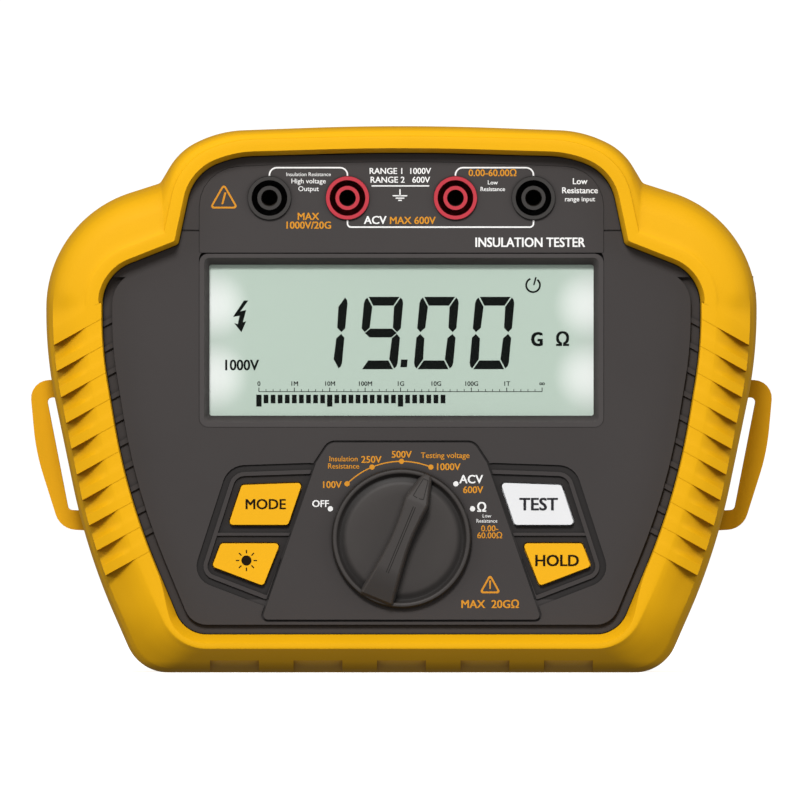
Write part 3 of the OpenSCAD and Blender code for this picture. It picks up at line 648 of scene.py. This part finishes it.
def bumper_stations():
    """The rails, the stations on them and the flank's span in Z, for the right half.

    A station is (distance along each rail, rib height), from the bottom centre to the top centre.
    """
    inner, crest, outer = (half_line(c) for c in (OPENING, inset(OPENING, -CREST_W), OUTER))
    slope = half_line(inset(OPENING, -SLOPE_W))
    rails = (inner, slope, crest, outer)

    def corner(i, end):
        """Where the round of corner i starts (end 0) or ends (end 1) on each rail."""
        return [rail[1][rail[2][i][end]] for rail in rails]

    def rib(distance):
        """Where the slanted line from a place on the outer rail crosses each rail."""
        start = along(outer, distance)
        return [crossing(rail, rib_line(start)) for rail in (inner, slope, crest)] + [distance]

    top = crossing(outer, lambda p: p.y >= RIB_TOP_Z)
    edges = [top - i * RIB_PITCH for i in range(RIB_COUNT)]
    rib_low = rib(edges[-1] - (1 - RIB_BAND) * RIB_PITCH)
    rib_high = rib(edges[0] + RIB_BAND * RIB_PITCH)
    anchors = [([0] * 4, 0), (corner(0, 0), 26), (corner(0, 1), 14), (rib_low, 10)]
    stations = evenly(anchors, 0.0)
    # Ribs, from the lowest up: a valley that curves down from the rib below, a step up, a flat top.
    for edge in reversed(edges):
        valley = [(-0.56, 0.6), (-0.5, 0.32), (-0.42, 0.13), (-0.3, 0.03), (-0.15, 0), (-0.03, 0)]
        if edge == edges[-1]:
            valley = [(place, 0) for place, _ in valley]
        marks = valley + [(0, 1), (0.1, 1), (0.2, 1), (0.3, 1), (RIB_BAND - 0.02, 1)]
        for place, height in marks:
            stations.append((rib(edge + place * RIB_PITCH), float(height)))
    steps = [(12, 30), (16, 6), (8, 10), (6, 12)]
    anchors = [(rib(edges[0] + 0.6 * RIB_PITCH), 0)]
    for i, (before, across) in enumerate(steps):
        anchors += [(corner(3 + i, 0), before), (corner(3 + i, 1), across)]
    anchors.append(([rail[1][-1] for rail in rails], 20))
    stations += evenly(anchors, 1.0)
    stations.append(([rail[1][-1] for rail in rails], 1.0))
    span = (along(outer, rib_low[3]).y, along(outer, rib_high[3]).y)
    return rails, stations, span


def bumper():
    """The bumper's skin: a section at each station, lofted all the way round."""
    rails, stations, (flank_low, flank_high) = bumper_stations()
    crest_y = LIP + 0.1
    fall = SIDE_START - crest_y

    def section(station, mirror):
        places, rib_height = station
        inner, slope, crest, outer = (along(rail, place) for rail, place in zip(rails, places))
        # The bottom has a wide inner slope, the flank almost none, the head and shoulders a steep one.
        chin = 1 - smoothstep(0.5, flank_low, outer.y)
        flank = (1 - chin) * (1 - smoothstep(flank_high, flank_high + 14, outer.y))
        low_lip = 1 - smoothstep(11, 27, inner.y)
        slope = inner.lerp(slope, low_lip + (1 - low_lip) * (0.5 - 0.38 * flank))
        crest = inner.lerp(crest, 1 - 0.12 * low_lip)
        sunk = 0.13 * (1 - rib_height) * flank
        line = [(inner, SHELF), (inner, PANEL + 0.8), (inner, PANEL - 1.5),
                (inner.lerp(slope, 0.8), LIP + 0.9), (inner.lerp(slope, 0.93), LIP + 0.3 + sunk),
                (slope, LIP + 0.03 + sunk), (slope.lerp(crest, 0.5), LIP + sunk),
                (slope.lerp(crest, 0.9), LIP + 0.03 + sunk)]
        for share in WIDTH_SHARES:
            depth = interpolate(ROUND_SECTION, share)
            depth += (interpolate(CHIN_SECTION, share) - depth) * chin
            depth += (interpolate(FLANK_SECTION, share) - depth) * flank
            if rib_height and share <= RIB_END:
                depth += (interpolate(RIB_SECTION, share) - depth) * rib_height * flank
            line.append((crest.lerp(outer, share), crest_y + fall * depth))
        points = [(p.x, y, p.y) for p, y in line]
        if mirror:
            points = [(-x, y, z) for x, y, z in points]
        return points

    right = [section(s, False) for s in stations]
    left = [section(s, True) for s in reversed(stations[1:-1])]
    rings = right + left
    # Behind the front slope the section is the same all round: side wall, rear rim and inner wall.
    outline = [Vector((points[-1][0], points[-1][2])) for points in rings]
    count = len(outline)
    normals = []
    for i in range(count):
        run = outline[(i + 1) % count] - outline[i - 1]
        normals.append(unit(Vector((-run.y, run.x))))
    back = [(0, SIDE_START + 6), (0, 0), (0, RIM - 8), (0, RIM - 3), (0.25, RIM - 1.6), (0.9, RIM - 0.7),
            (1.8, RIM - 0.2), (3, RIM), (6.6, RIM), (7, RIM - 0.4), (7, RIM - 2.4), (3, RIM - 2.4),
            (3, SHELF)]
    for points, p, n in zip(rings, outline, normals):
        points += [(p.x + n.x * d, y, p.y + n.y * d) for d, y in back]
    points, faces = loft(rings)
    return mesh("bumper_skin", points, faces, M["bumper"])


def cut(piece, profile, x0, x1):
    """Cuts a prism out of a piece: a (y, z) profile between two places along X."""
    count = len(profile)
    points = [(x, y, z) for x in (x0, x1) for y, z in profile]
    faces = [tuple(range(count)), tuple(range(count, 2 * count))]
    faces += [(i, (i + 1) % count, count + (i + 1) % count, count + i) for i in range(count)]
    cutter = mesh("cutter", points, faces, M["bumper"], False)
    change = piece.modifiers.new("cut", "BOOLEAN")
    change.object = cutter
    change.operation = "DIFFERENCE"
    change.solver = "EXACT"
    result = bpy.data.meshes.new_from_object(piece.evaluated_get(bpy.context.evaluated_depsgraph_get()))
    piece.modifiers.clear()
    old, tool = piece.data, cutter.data
    piece.data = result
    bpy.data.objects.remove(cutter)
    bpy.data.meshes.remove(old)
    bpy.data.meshes.remove(tool)


def build_bumper():
    piece = bumper()
    # The window for the side cover goes through the right wall.
    front, low_z = low("inlet_cover").y - COVER_GAP, low("inlet_cover").z - COVER_GAP
    high_z = high("inlet_cover").z + COVER_GAP
    window = [(front, low_z), (WINDOW_BACK, low_z), (WINDOW_BACK, high_z), (front, high_z)]
    cut(piece, window, WINDOW_INSIDE, WINDOW_OUTSIDE)
    for i in range(-2, 3):
        middle = i * NOTCH_PITCH
        cut(piece, NOTCH, middle - NOTCH_HALF, middle + NOTCH_HALF)
    sharpen(piece, 28)
    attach(piece, "case")
    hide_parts("bumper")


# ---- printing on the panel and the display ----------------------------------------------------

def cap_height():
    """Height of a capital letter as a share of the text size."""
    curve = bpy.data.curves.new("probe", "FONT")
    curve.body = "H"
    curve.size = 1
    piece = add("probe", curve)
    bpy.context.view_layer.update()
    height = piece.dimensions.y
    bpy.data.objects.remove(piece)
    bpy.data.curves.remove(curve)
    return height


CAP = cap_height()


def words(body, x, z, height, y, material, bold=0.02, squeeze=1.0):
    """Lettering that faces -Y; x is its middle and z its baseline. Overprinting makes it bold."""
    curve = bpy.data.curves.new("words", "FONT")
    curve.body = body
    curve.size = height / CAP * MM
    curve.align_x = "CENTER"
    curve.extrude = PRINT / 2 * MM
    curve.resolution_u = 3
    step = bold * curve.size
    piece = add("words", curve)
    place = Matrix.Translation((x * MM, (y - PRINT / 2) * MM, z * MM))
    upright = Matrix.Rotation(math.pi / 2, 4, "X")
    piece.matrix_world = place @ upright @ Matrix.Diagonal((squeeze, 1, 1, 1))
    data = to_mesh(piece, material)
    work = bmesh.new()
    for dx, dz in ((-1, -0.5), (1, -0.5), (-1, 0.5), (1, 0.5)):
        data.transform(Matrix.Translation((dx * step, -LAYER * MM, dz * step)))
        work.from_mesh(data)
        data.transform(Matrix.Translation((-dx * step, 0, -dz * step)))
    work.to_mesh(data)
    work.free()
    return data


def wording(y, material, rows):
    """Lettering from rows of text, middle, baseline, height and boldness."""
    return [words(text, x, z, height, y, material, bold) for text, x, z, height, bold in rows]


def shape(outlines, y, material, thick=PRINT):
    """A flat printed shape that faces -Y."""
    return to_mesh(flat_curve(outlines, y - thick, y), material)


def disc(x, z, radius, y, material, steps=24):
    angles = [2 * math.pi * i / steps for i in range(steps)]
    edge = [(x + radius * math.cos(a), z + radius * math.sin(a)) for a in angles]
    return shape([edge], y, material)


def stroke(points, width, y, material, thick=PRINT):
    """A printed line of even width through the points."""
    points = [Vector(p) for p in points]
    sides = ([], [])
    for i, p in enumerate(points):
        before = unit(p - points[i - 1]) if i else None
        after = unit(points[i + 1] - p) if i < len(points) - 1 else None
        run = unit((before or after) + (after or before))
        normal = Vector((-run.y, run.x))
        last = after or before
        stretch = 1 / max(0.5, normal.dot(Vector((-last.y, last.x))))
        for side, sign in zip(sides, (1, -1)):
            side.append(p + normal * sign * width / 2 * stretch)
    return shape([sides[0] + sides[1][::-1]], y, material, thick)


def round_line(corners, steps=5):
    """An open line with round corners: (x, z, radius) for each point, the ends with radius 0."""
    flat = [Vector((x, z)) for x, z, _ in corners]
    line = [flat[0]]
    for i in range(1, len(corners) - 1):
        line += arc_at(flat[i - 1], flat[i], flat[i + 1], corners[i][2], steps)
    return line + [flat[-1]]


def on_dial(angle, radius):
    """A point on the dial; the angle is clockwise from the top."""
    turn = math.radians(angle)
    return radius * math.sin(turn), DIAL_Z + radius * math.cos(turn)


def legend(name, pieces, material, body="case"):
    piece = join(name, pieces, material)
    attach(piece, body)


def print_panel():
    white, orange = M["white_ink"], M["orange_ink"]
    y = low("terminal_panel").y - INK_GAP
    xs = SOCKET_X
    pale, warm = [], []
    # Brackets that pair the sockets.
    for a, b, side, reach, radius in ((0, 1, 1, 8.3, 2), (2, 3, 1, 8.3, 2), (1, 3, -1, 8, 1)):
        start = SOCKET_Z + side * (SOCKET_R + 0.1)
        level = SOCKET_Z + side * reach
        corners = [(xs[a], start, 0), (xs[a], level, radius), (xs[b], level, radius), (xs[b], start, 0)]
        pale.append(stroke(round_line(corners), 0.42, y, white))
    pale += wording(y, white, (
        ("Insulation Resistance", -25.5, 136.2, 1.0, 0.003),
        ("High voltage", -25.5, 134.2, 1.3, 0.007),
        ("Output", -25.5, 132.1, 1.3, 0.007),
        ("RANGE 1  1000V", -0.4, 136.8, 1.6, 0.018),
        ("RANGE 2   600V", -0.4, 134.4, 1.6, 0.018),
        ("ACV", -7.2, 123.1, 2.1, 0.022),
        ("Low", 25.0, 133.9, 1.1, 0.012),
        ("Resistance", 25.0, 132.1, 1.1, 0.012),
        ("Low", 48.9, 134.0, 1.6, 0.018),
        ("Resistance", 48.9, 131.5, 1.6, 0.018),
        ("range input", 48.9, 129.3, 1.25, 0.015),
    ))
    pale.append(stroke([(-8.2, 133.5), (7.6, 133.5)], 0.35, y, white))
    # Earth symbol.
    pale.append(stroke([(-0.4, 132.6), (-0.4, 130.8)], 0.35, y, white))
    for width, z in ((4.0, 130.8), (2.4, 130.15), (1.0, 129.55)):
        pale.append(stroke([(-0.4 - width / 2, z), (-0.4 + width / 2, z)], 0.32, y, white))
    warm += wording(y, orange, (
        ("MAX", -25.6, 124.2, 1.9, 0.022),
        ("1000V/20G", -25.6, 121.8, 1.9, 0.022),
        ("MAX 600V", 3.0, 123.1, 1.9, 0.022),
        ("0.00-60.00Ω", 25.0, 136.2, 1.8, 0.018),
    ))
    triangle = [(-52.7, 127.3, 0.7), (-44.7, 127.3, 0.7), (-48.7, 134.3, 0.7)]
    warm.append(shape([rounded(triangle), rounded(inset(triangle, 0.5))[::-1]], y, orange))
    warm.append(shape([[(-48.55, 131.7), (-48.0, 131.7), (-48.85, 128.5), (-49.4, 128.5)]], y, orange))
    pale.append(words("INSULATION TESTER", 35.2, 116.8, 2.5, y, white, 0.022, squeeze=0.88))
    legend("panel_print_white", pale, white)
    legend("panel_print_orange", warm, orange)


def print_dial():
    white, orange = M["white_ink"], M["orange_ink"]
    y = DIAL - INK_GAP
    pale, warm = [], []
    dots = {-3: white, -2: orange, -1: orange, 0: orange, 1: orange, 2: white, 3: white}
    for step, tone in dots.items():
        x, z = on_dial(step * DIAL_STEP, DOT_RADIUS)
        (pale if tone is white else warm).append(disc(x, z, 0.72, y, tone))
    steps = 18
    arc = [on_dial((-2 + 3 * i / steps) * DIAL_STEP, DOT_RADIUS) for i in range(steps + 1)]
    warm.append(stroke(arc, 0.32, y, orange, PRINT / 2))
    pale += wording(y, white, (
        ("OFF", -22.2, 45.5, 1.8, 0.02),
        ("ACV", 19.1, 52.0, 2.2, 0.022),
        ("Ω", 22.0, 44.2, 2.4, 0.025),
        ("Low", 23.4, 42.6, 0.95, 0.003),
        ("Resistance", 23.4, 41.2, 0.95, 0.003),
    ))
    warm += wording(y, orange, (
        ("100V", -19.2, 50.7, 1.8, 0.02),
        ("250V", -8.3, 57.6, 1.8, 0.02),
        ("500V", 0, 59.0, 1.8, 0.02),
        ("1000V", 12.7, 55.6, 1.8, 0.02),
        ("Insulation", -15.9, 58.0, 1.4, 0.007),
        ("Resistance", -15.9, 56.0, 1.4, 0.007),
        ("Testing voltage", 12.0, 58.9, 1.5, 0.008),
        ("600V", 19.6, 49.3, 1.8, 0.02),
        ("0.00-", 24.2, 38.8, 1.6, 0.015),
        ("60.00Ω", 24.2, 36.9, 1.6, 0.015),
        ("MAX  20GΩ", 24.3, 17.8, 2.1, 0.022),
    ))
    triangle = [(21.3, 21.8, 0.6), (27.3, 21.8, 0.6), (24.3, 27.2, 0.6)]
    warm.append(shape([rounded(triangle), rounded(inset(triangle, 0.5))[::-1]], y, orange))
    warm.append(shape([[(24.02, 25.3), (24.12, 23.0), (24.48, 23.0), (24.58, 25.3)]], y, orange))
    legend("dial_print_white", pale, white)
    legend("dial_print_orange", warm, orange)


def sun_symbol(x, z, y, material):
    """A round sun with eight rays, for the backlight key."""
    parts = [disc(x, z, 1.4, y, material)]
    for i in range(8):
        turn = math.radians(45 * i)
        ray = [(x + r * math.cos(turn), z + r * math.sin(turn)) for r in (1.95, 2.9)]
        parts.append(stroke(ray, 0.32, y, material))
    return parts


def print_keys():
    black, grey = M["black_ink"], M["grey_ink"]
    y = low("key_mode").y - INK_GAP
    prints = {
        "mode": (wording(y, black, [("MODE", -37.3, 44.9, 2.7, 0.022)]), black, "key_yellow"),
        "backlight": (sun_symbol(-42.5, 30.8, y, black), black, "key_yellow"),
        "test": (wording(y, grey, [("TEST", 37.6, 44.6, 3.3, 0.028)]), grey, "key_white"),
        "hold": (wording(y, black, [("HOLD", 42.6, 29.3, 3.0, 0.026)]), black, "key_yellow"),
    }
    for key, (parts, tone, slot) in prints.items():
        legend("key_" + key + "_print", parts, tone, "key_" + key)


# ---- display ----------------------------------------------------------------------------------

DIGIT_SEGMENTS = {"0": "abcdef", "1": "bc", "9": "abcdfg"}
DIGIT_W = 10.75
DIGIT_H = 19.85
DIGIT_BAR = 2.4


def segment_shapes():
    """The seven segments of an upright figure, with its lower left corner at the origin."""
    w, h, t = DIGIT_W, DIGIT_H, DIGIT_BAR
    m = h / 2
    top = [(1.15, h), (w - 1.15, h), (w - 2.6, h - t), (2.6, h - t)]
    middle = [(1, m), (2.4, m + t / 2), (w - 2.4, m + t / 2), (w - 1, m), (w - 2.4, m - t / 2),
              (2.4, m - t / 2)]
    side = [(0.8, h - 0.2), (0.25, h - 0.8), (0, h - 1.8), (0, m + 1.3), (0.95, m + 0.25),
            (t - 0.2, m + 1.45), (t, h - 2.75)]

    def across(points):
        return [(w - x, z) for x, z in points]

    def down(points):
        return [(x, h - z) for x, z in points]

    return {"a": top, "d": down(top), "g": middle, "f": side, "b": across(side), "e": down(side),
            "c": down(across(side))}


def digit(figure, x, bottom, y, material):
    """One seven-segment figure that leans to the right."""
    lean = math.tan(math.radians(5.2))
    shapes = segment_shapes()
    return [shape([[(x + px + pz * lean, bottom + pz) for px, pz in shapes[s]]], y, material)
            for s in DIGIT_SEGMENTS[figure]]


def print_display():
    tone = M["segment"]
    y = GLASS - INK_GAP
    parts = []
    bottom = 83.25
    for figure, x in (("1", -27.2), ("9", -11.95), ("0", 3.3), ("0", 18.55)):
        parts += digit(figure, x, bottom, y, tone)
    parts.append(shape([[(-0.3, 83.8), (1.5, 83.8), (1.7, 85.9), (-0.1, 85.9)]], y, tone))
    # Lightning arrow for high voltage.
    arrow = [(-43.2, 102.1), (-46.2, 97.6), (-44.4, 97.9), (-44.9, 95.6), (-45.9, 95.9), (-43.9, 93.4),
             (-42.6, 96.4), (-43.5, 96.1), (-42.6, 99.5), (-44.2, 99.1), (-42.0, 102.1)]
    parts.append(shape([arrow], y, tone))
    parts.append(words("1000V", -44.1, 83.0, 2.8, y, tone, 0.022, squeeze=0.92))
    parts.append(words("G", 37.2, 89.7, 3.6, y, tone, 0.04, squeeze=0.85))
    parts.append(words("Ω", 44.2, 89.7, 3.6, y, tone, 0.03, squeeze=0.95))
    # Power symbol.
    turns = [math.radians(degrees) for degrees in range(38, 344, 15)]
    ring = [(36.1 + 1.9 * math.sin(a), 106.3 + 1.9 * math.cos(a)) for a in turns]
    parts.append(stroke(ring, 0.5, y, tone))
    parts.append(stroke([(36.3, 106.3), (36.9, 108.5)], 0.42, y, tone))
    # Bar scale with its labels.
    left, step, ticks, base = -39.1, 9.71, 5, 77.1
    names = ["0", "1M", "10M", "100M", "1G", "10G", "100G", "1T", "∞"]
    pitch = step / ticks
    for i, name in enumerate(names):
        x = left + i * step
        parts.append(words(name, x, base + 1.6, 1.2, y, tone, 0.015))
        parts.append(stroke([(x, base), (x, base + 1.1)], 0.22, y, tone))
        inner = [x + j * pitch for j in range(1, ticks)] if name != names[-1] else []
        parts += [stroke([(place, base), (place, base + 0.7)], 0.16, y, tone) for place in inner]
    parts.append(stroke([(left, base), (left + (len(names) - 1) * step, base)], 0.18, y, tone))
    for i in range(27):
        x = left + i * pitch
        long = i % 10 == 0
        parts.append(stroke([(x, 76.25), (x, 73.0 if long else 73.9)], 1.45 if long else 1.3, y, tone))
    legend("display_figures", parts, tone)


# ---- selector knob ----------------------------------------------------------------------------

# The grip from tail to tip, in the knob's own upright frame: (distance along, half width, height share).
GRIP = [(-18.3, 5.1, 0.3), (-17.6, 5.0, 0.5), (-14, 4.45, 0.78), (-10.6, 3.95, 1), (-8.5, 3.7, 1),
        (-6, 3.42, 1), (-3, 3.13, 1), (0, 2.97, 1), (3, 3.0, 1), (6, 3.16, 1), (8.5, 3.36, 1),
        (10.4, 3.56, 1), (11.1, 3.55, 0.99), (12, 3.3, 0.93), (15, 2.5, 0.72), (18, 1.66, 0.5),
        (18.7, 1.4, 0.4)]


def grip_mesh(back, top):
    """The grip from tail to tip; each section runs from its left foot over the top to its right foot."""
    rings = []
    for z, half, share in GRIP:
        front = back + (top - back) * share
        section = [(-half - 0.1, back), (-half, back + (front - back) * 0.3), (-half + 0.5, front + 0.45),
                   (-half + 0.95, front), (half - 0.95, front), (half - 0.5, front + 0.45),
                   (half, back + (front - back) * 0.3), (half + 0.1, back)]
        rings.append([(x, y, z) for x, y in section])
    points, faces = loft(rings, closed=False)
    count = len(rings[0])
    faces.append(tuple(range(count)))
    faces.append(tuple((len(rings) - 1) * count + i for i in range(count)))
    return mesh("grip", points, faces, M["knob"])


def dish_mesh(back):
    """The knob's round dish: a profile of (radius, height) turned round its axis."""
    profile = [(19.2, 0), (19.2, 1.0), (19.05, 1.5), (18.75, 1.85), (18.35, 1.95), (18.0, 1.9),
               (17.75, 1.7), (17.5, 1.2), (17.2, 0.7), (16.8, 0.45), (16.2, 0.5), (15.6, 0.85),
               (15.1, 1.1), (14.5, 1.2), (12.0, 1.24), (6.0, 1.25), (0.01, 1.25)]
    scale = KNOB_R / profile[0][0]
    steps = 128
    turns = [2 * math.pi * i / steps for i in range(steps)]
    rings = [[(r * scale * math.cos(a), back - rise, r * scale * math.sin(a)) for a in turns]
             for r, rise in profile]
    points, faces = loft(rings, closed=False)
    faces.append(tuple(range(steps)))
    faces.append(tuple((len(profile) - 1) * steps + i for i in range(steps)))
    return mesh("knob_dish", points, faces, M["dish"])


def grip_front(z, back, top):
    """Depth of the grip's front face at a distance along it."""
    return back + (top - back) * interpolate([(along_z, share) for along_z, _, share in GRIP], z)


def build_knob():
    back = DIAL - 0.2
    top = KNOB_LOW.y
    for piece in (dish_mesh(back), grip_mesh(back - 0.2, top)):
        sharpen(piece, 32)
        place_on_dial(piece, "selector_knob")
    # The pointer: thin dark lines of painted shade, for the engraved grooves, laid on the slopes of the
    # grip.
    head = [(0.3, 11.9), (1.5, 12.1), (0.7, 17.4), (-0.7, 17.4), (-1.5, 12.1), (-0.3, 11.9)]
    lines = [[(0.3, -10.2), (0.3, 11.9)], [(-0.3, -10.2), (-0.3, 11.9)], head]
    pieces = []
    for line in lines:
        corners = [Vector(p) for p in line]
        fine = [a.lerp(b, i / 8) for a, b in zip(corners, corners[1:]) for i in range(8)] + [corners[-1]]
        for a, b in zip(fine, fine[1:]):
            pieces.append(stroke([a, b], 0.2, 0, M["hole"], 0.02))
    mark = join("selector_pointer", pieces, M["hole"])
    for vertex in mark.data.vertices:
        vertex.co.y += (grip_front(vertex.co.z / MM, back - 0.2, top) - 0.005) * MM
    place_on_dial(mark)


def place_on_dial(piece, node=None):
    """Puts a piece drawn upright round the origin on the dial, turned to the knob's rest position."""
    piece.data.transform(Matrix.Rotation(math.radians(DIAL_STEP), 4, "Y"))
    piece.location = (0, 0, DIAL_Z * MM)
    bpy.context.view_layer.update()
    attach(piece, "selector")
    if node:
        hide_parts(node)


# ---- CAD nodes that stay, with their finish ---------------------------------------------------

def finish_nodes():
    bevel(paint("front_case", "case"), 0.25)
    for node in ("rear_case", "battery_cover"):
        bevel(paint(node, "case_back"), 0.4)
    bevel(paint("terminal_panel", "panel"), 0.2)
    bevel(paint("display_bezel", "bezel"), 0.35, 3, 20)
    for node in ("strap_loop_left", "strap_loop_right"):
        bevel(paint(node, "loop"), 1.3, 4)
    bevel(paint("inlet_cover", "bumper"), 0.3)
    for s in SOCKETS:
        bevel(paint("socket_" + s, "socket_red" if s.endswith("red") else "socket_black"), 0.25)
        paint("contact_" + s, "sleeve")
    for key in ("mode", "backlight", "test", "hold"):
        bevel(paint("key_" + key, "key_white" if key == "test" else "key_yellow"), 0.35, 3)
        paint("key_dome_" + key, "silicone")
    paint("display_window", "window")
    paint("lcd_glass", "lcd")
    plain = {
        "steel": ["case_screws", "board_screws", "battery_cover_screws", "selector_screw", "detent_balls",
                  "detent_springs", "inlet_hinge_pin", "battery_spring_contacts",
                  "battery_plate_contacts"],
        "brass": ["rotor_wipers", "fuse_clips"],
        "acetal": ["switch_rotor", "detent_ring"],
        "white_plastic": ["lcd_backlight", "lcd_frame"],
        "silicone": ["lcd_connector_strips"],
        "black_plastic": ["hv_transformer", "chips", "buzzer", "power_inlet"],
        "blue_plastic": ["hv_capacitors", "relays"],
        "board": ["main_board"],
        "cell": ["battery_cells"],
        "fuse": ["fuse"],
        "wire_red": ["battery_lead_red"],
        "wire_black": ["battery_lead_black"],
    }
    for tone, names in plain.items():
        for name in names:
            paint(name, tone)


# ---- studio -----------------------------------------------------------------------------------

def studio():
    """A pale sweep and soft lights."""
    material, tree, shader = new_material("studio_paper")
    paper = ramp(tree, noise(tree, 6, 2), [(0.3, (0.93, 0.93, 0.925, 1)), (0.7, (0.95, 0.95, 0.945, 1))])
    tree.links.new(paper, shader.inputs["Base Color"])
    tree.links.new(paper, shader.inputs["Emission Color"])
    shader.inputs["Emission Strength"].default_value = 0.86
    shader.inputs["Roughness"].default_value = 0.9
    shader.inputs["Specular IOR Level"].default_value = 0.1
    # A round sweep wide enough for a camera anywhere at the same distance.
    floor, bend, top = 9500, 1500, 4000
    steps = 12
    profile = [(1, 0), (2000, 0), (floor, 0)]
    for i in range(1, steps + 1):
        angle = math.pi / 2 * i / steps
        profile.append((floor + bend * math.sin(angle), bend - bend * math.cos(angle)))
    profile.append((floor + bend, top))
    sides = 96
    around = [2 * math.pi * i / sides for i in range(sides)]
    rings = [[(r * math.cos(a), r * math.sin(a), z) for a in around] for r, z in profile]
    points, faces = loft(rings, closed=False)
    faces.append(tuple(range(sides)))
    sweep = mesh("studio_sweep", points, faces, material)
    sweep.visible_diffuse = False
    sweep.visible_glossy = False

    def area(name, place, size, power, aim=(0, 0, 0.075)):
        light = bpy.data.lights.new(name, "AREA")
        light.shape = "DISK"
        light.size = size
        light.energy = power
        lamp = add(name, light)
        lamp.location = place
        lamp.rotation_euler = (Vector(aim) - Vector(place)).to_track_quat("-Z", "Y").to_euler()

    area("key_light", (-0.22, -1.7, 1.3), 0.6, 36.5)
    for side in (-1, 1):
        area("side_light", (side * 1.7, -0.9, 0.5), 1.0, 8)
    world = bpy.data.worlds.new("studio")
    world.use_nodes = True
    sky = world.node_tree.nodes["Background"]
    sky.inputs["Color"].default_value = (1, 1, 1, 1)
    sky.inputs["Strength"].default_value = 0.27
    bpy.context.scene.world = world
    bpy.context.scene.view_settings.view_transform = "Standard"


def camera():
    """A long lens, square to the panel."""
    distance = 8.0
    field = 0.2192            # width of the view at the object
    middle_x, middle_z = -0.0004, 0.0748
    data = bpy.data.cameras.new("camera")
    data.lens = data.sensor_width * distance / field
    data.clip_end = 30
    view = add("camera", data)
    view.location = (middle_x, -distance + LIP * MM, middle_z)
    view.rotation_euler = (math.pi / 2, 0, 0)
    bpy.context.scene.camera = view


camera()
studio()
build_bumper()
build_knob()
finish_nodes()
print_panel()
print_dial()
print_keys()
print_display()
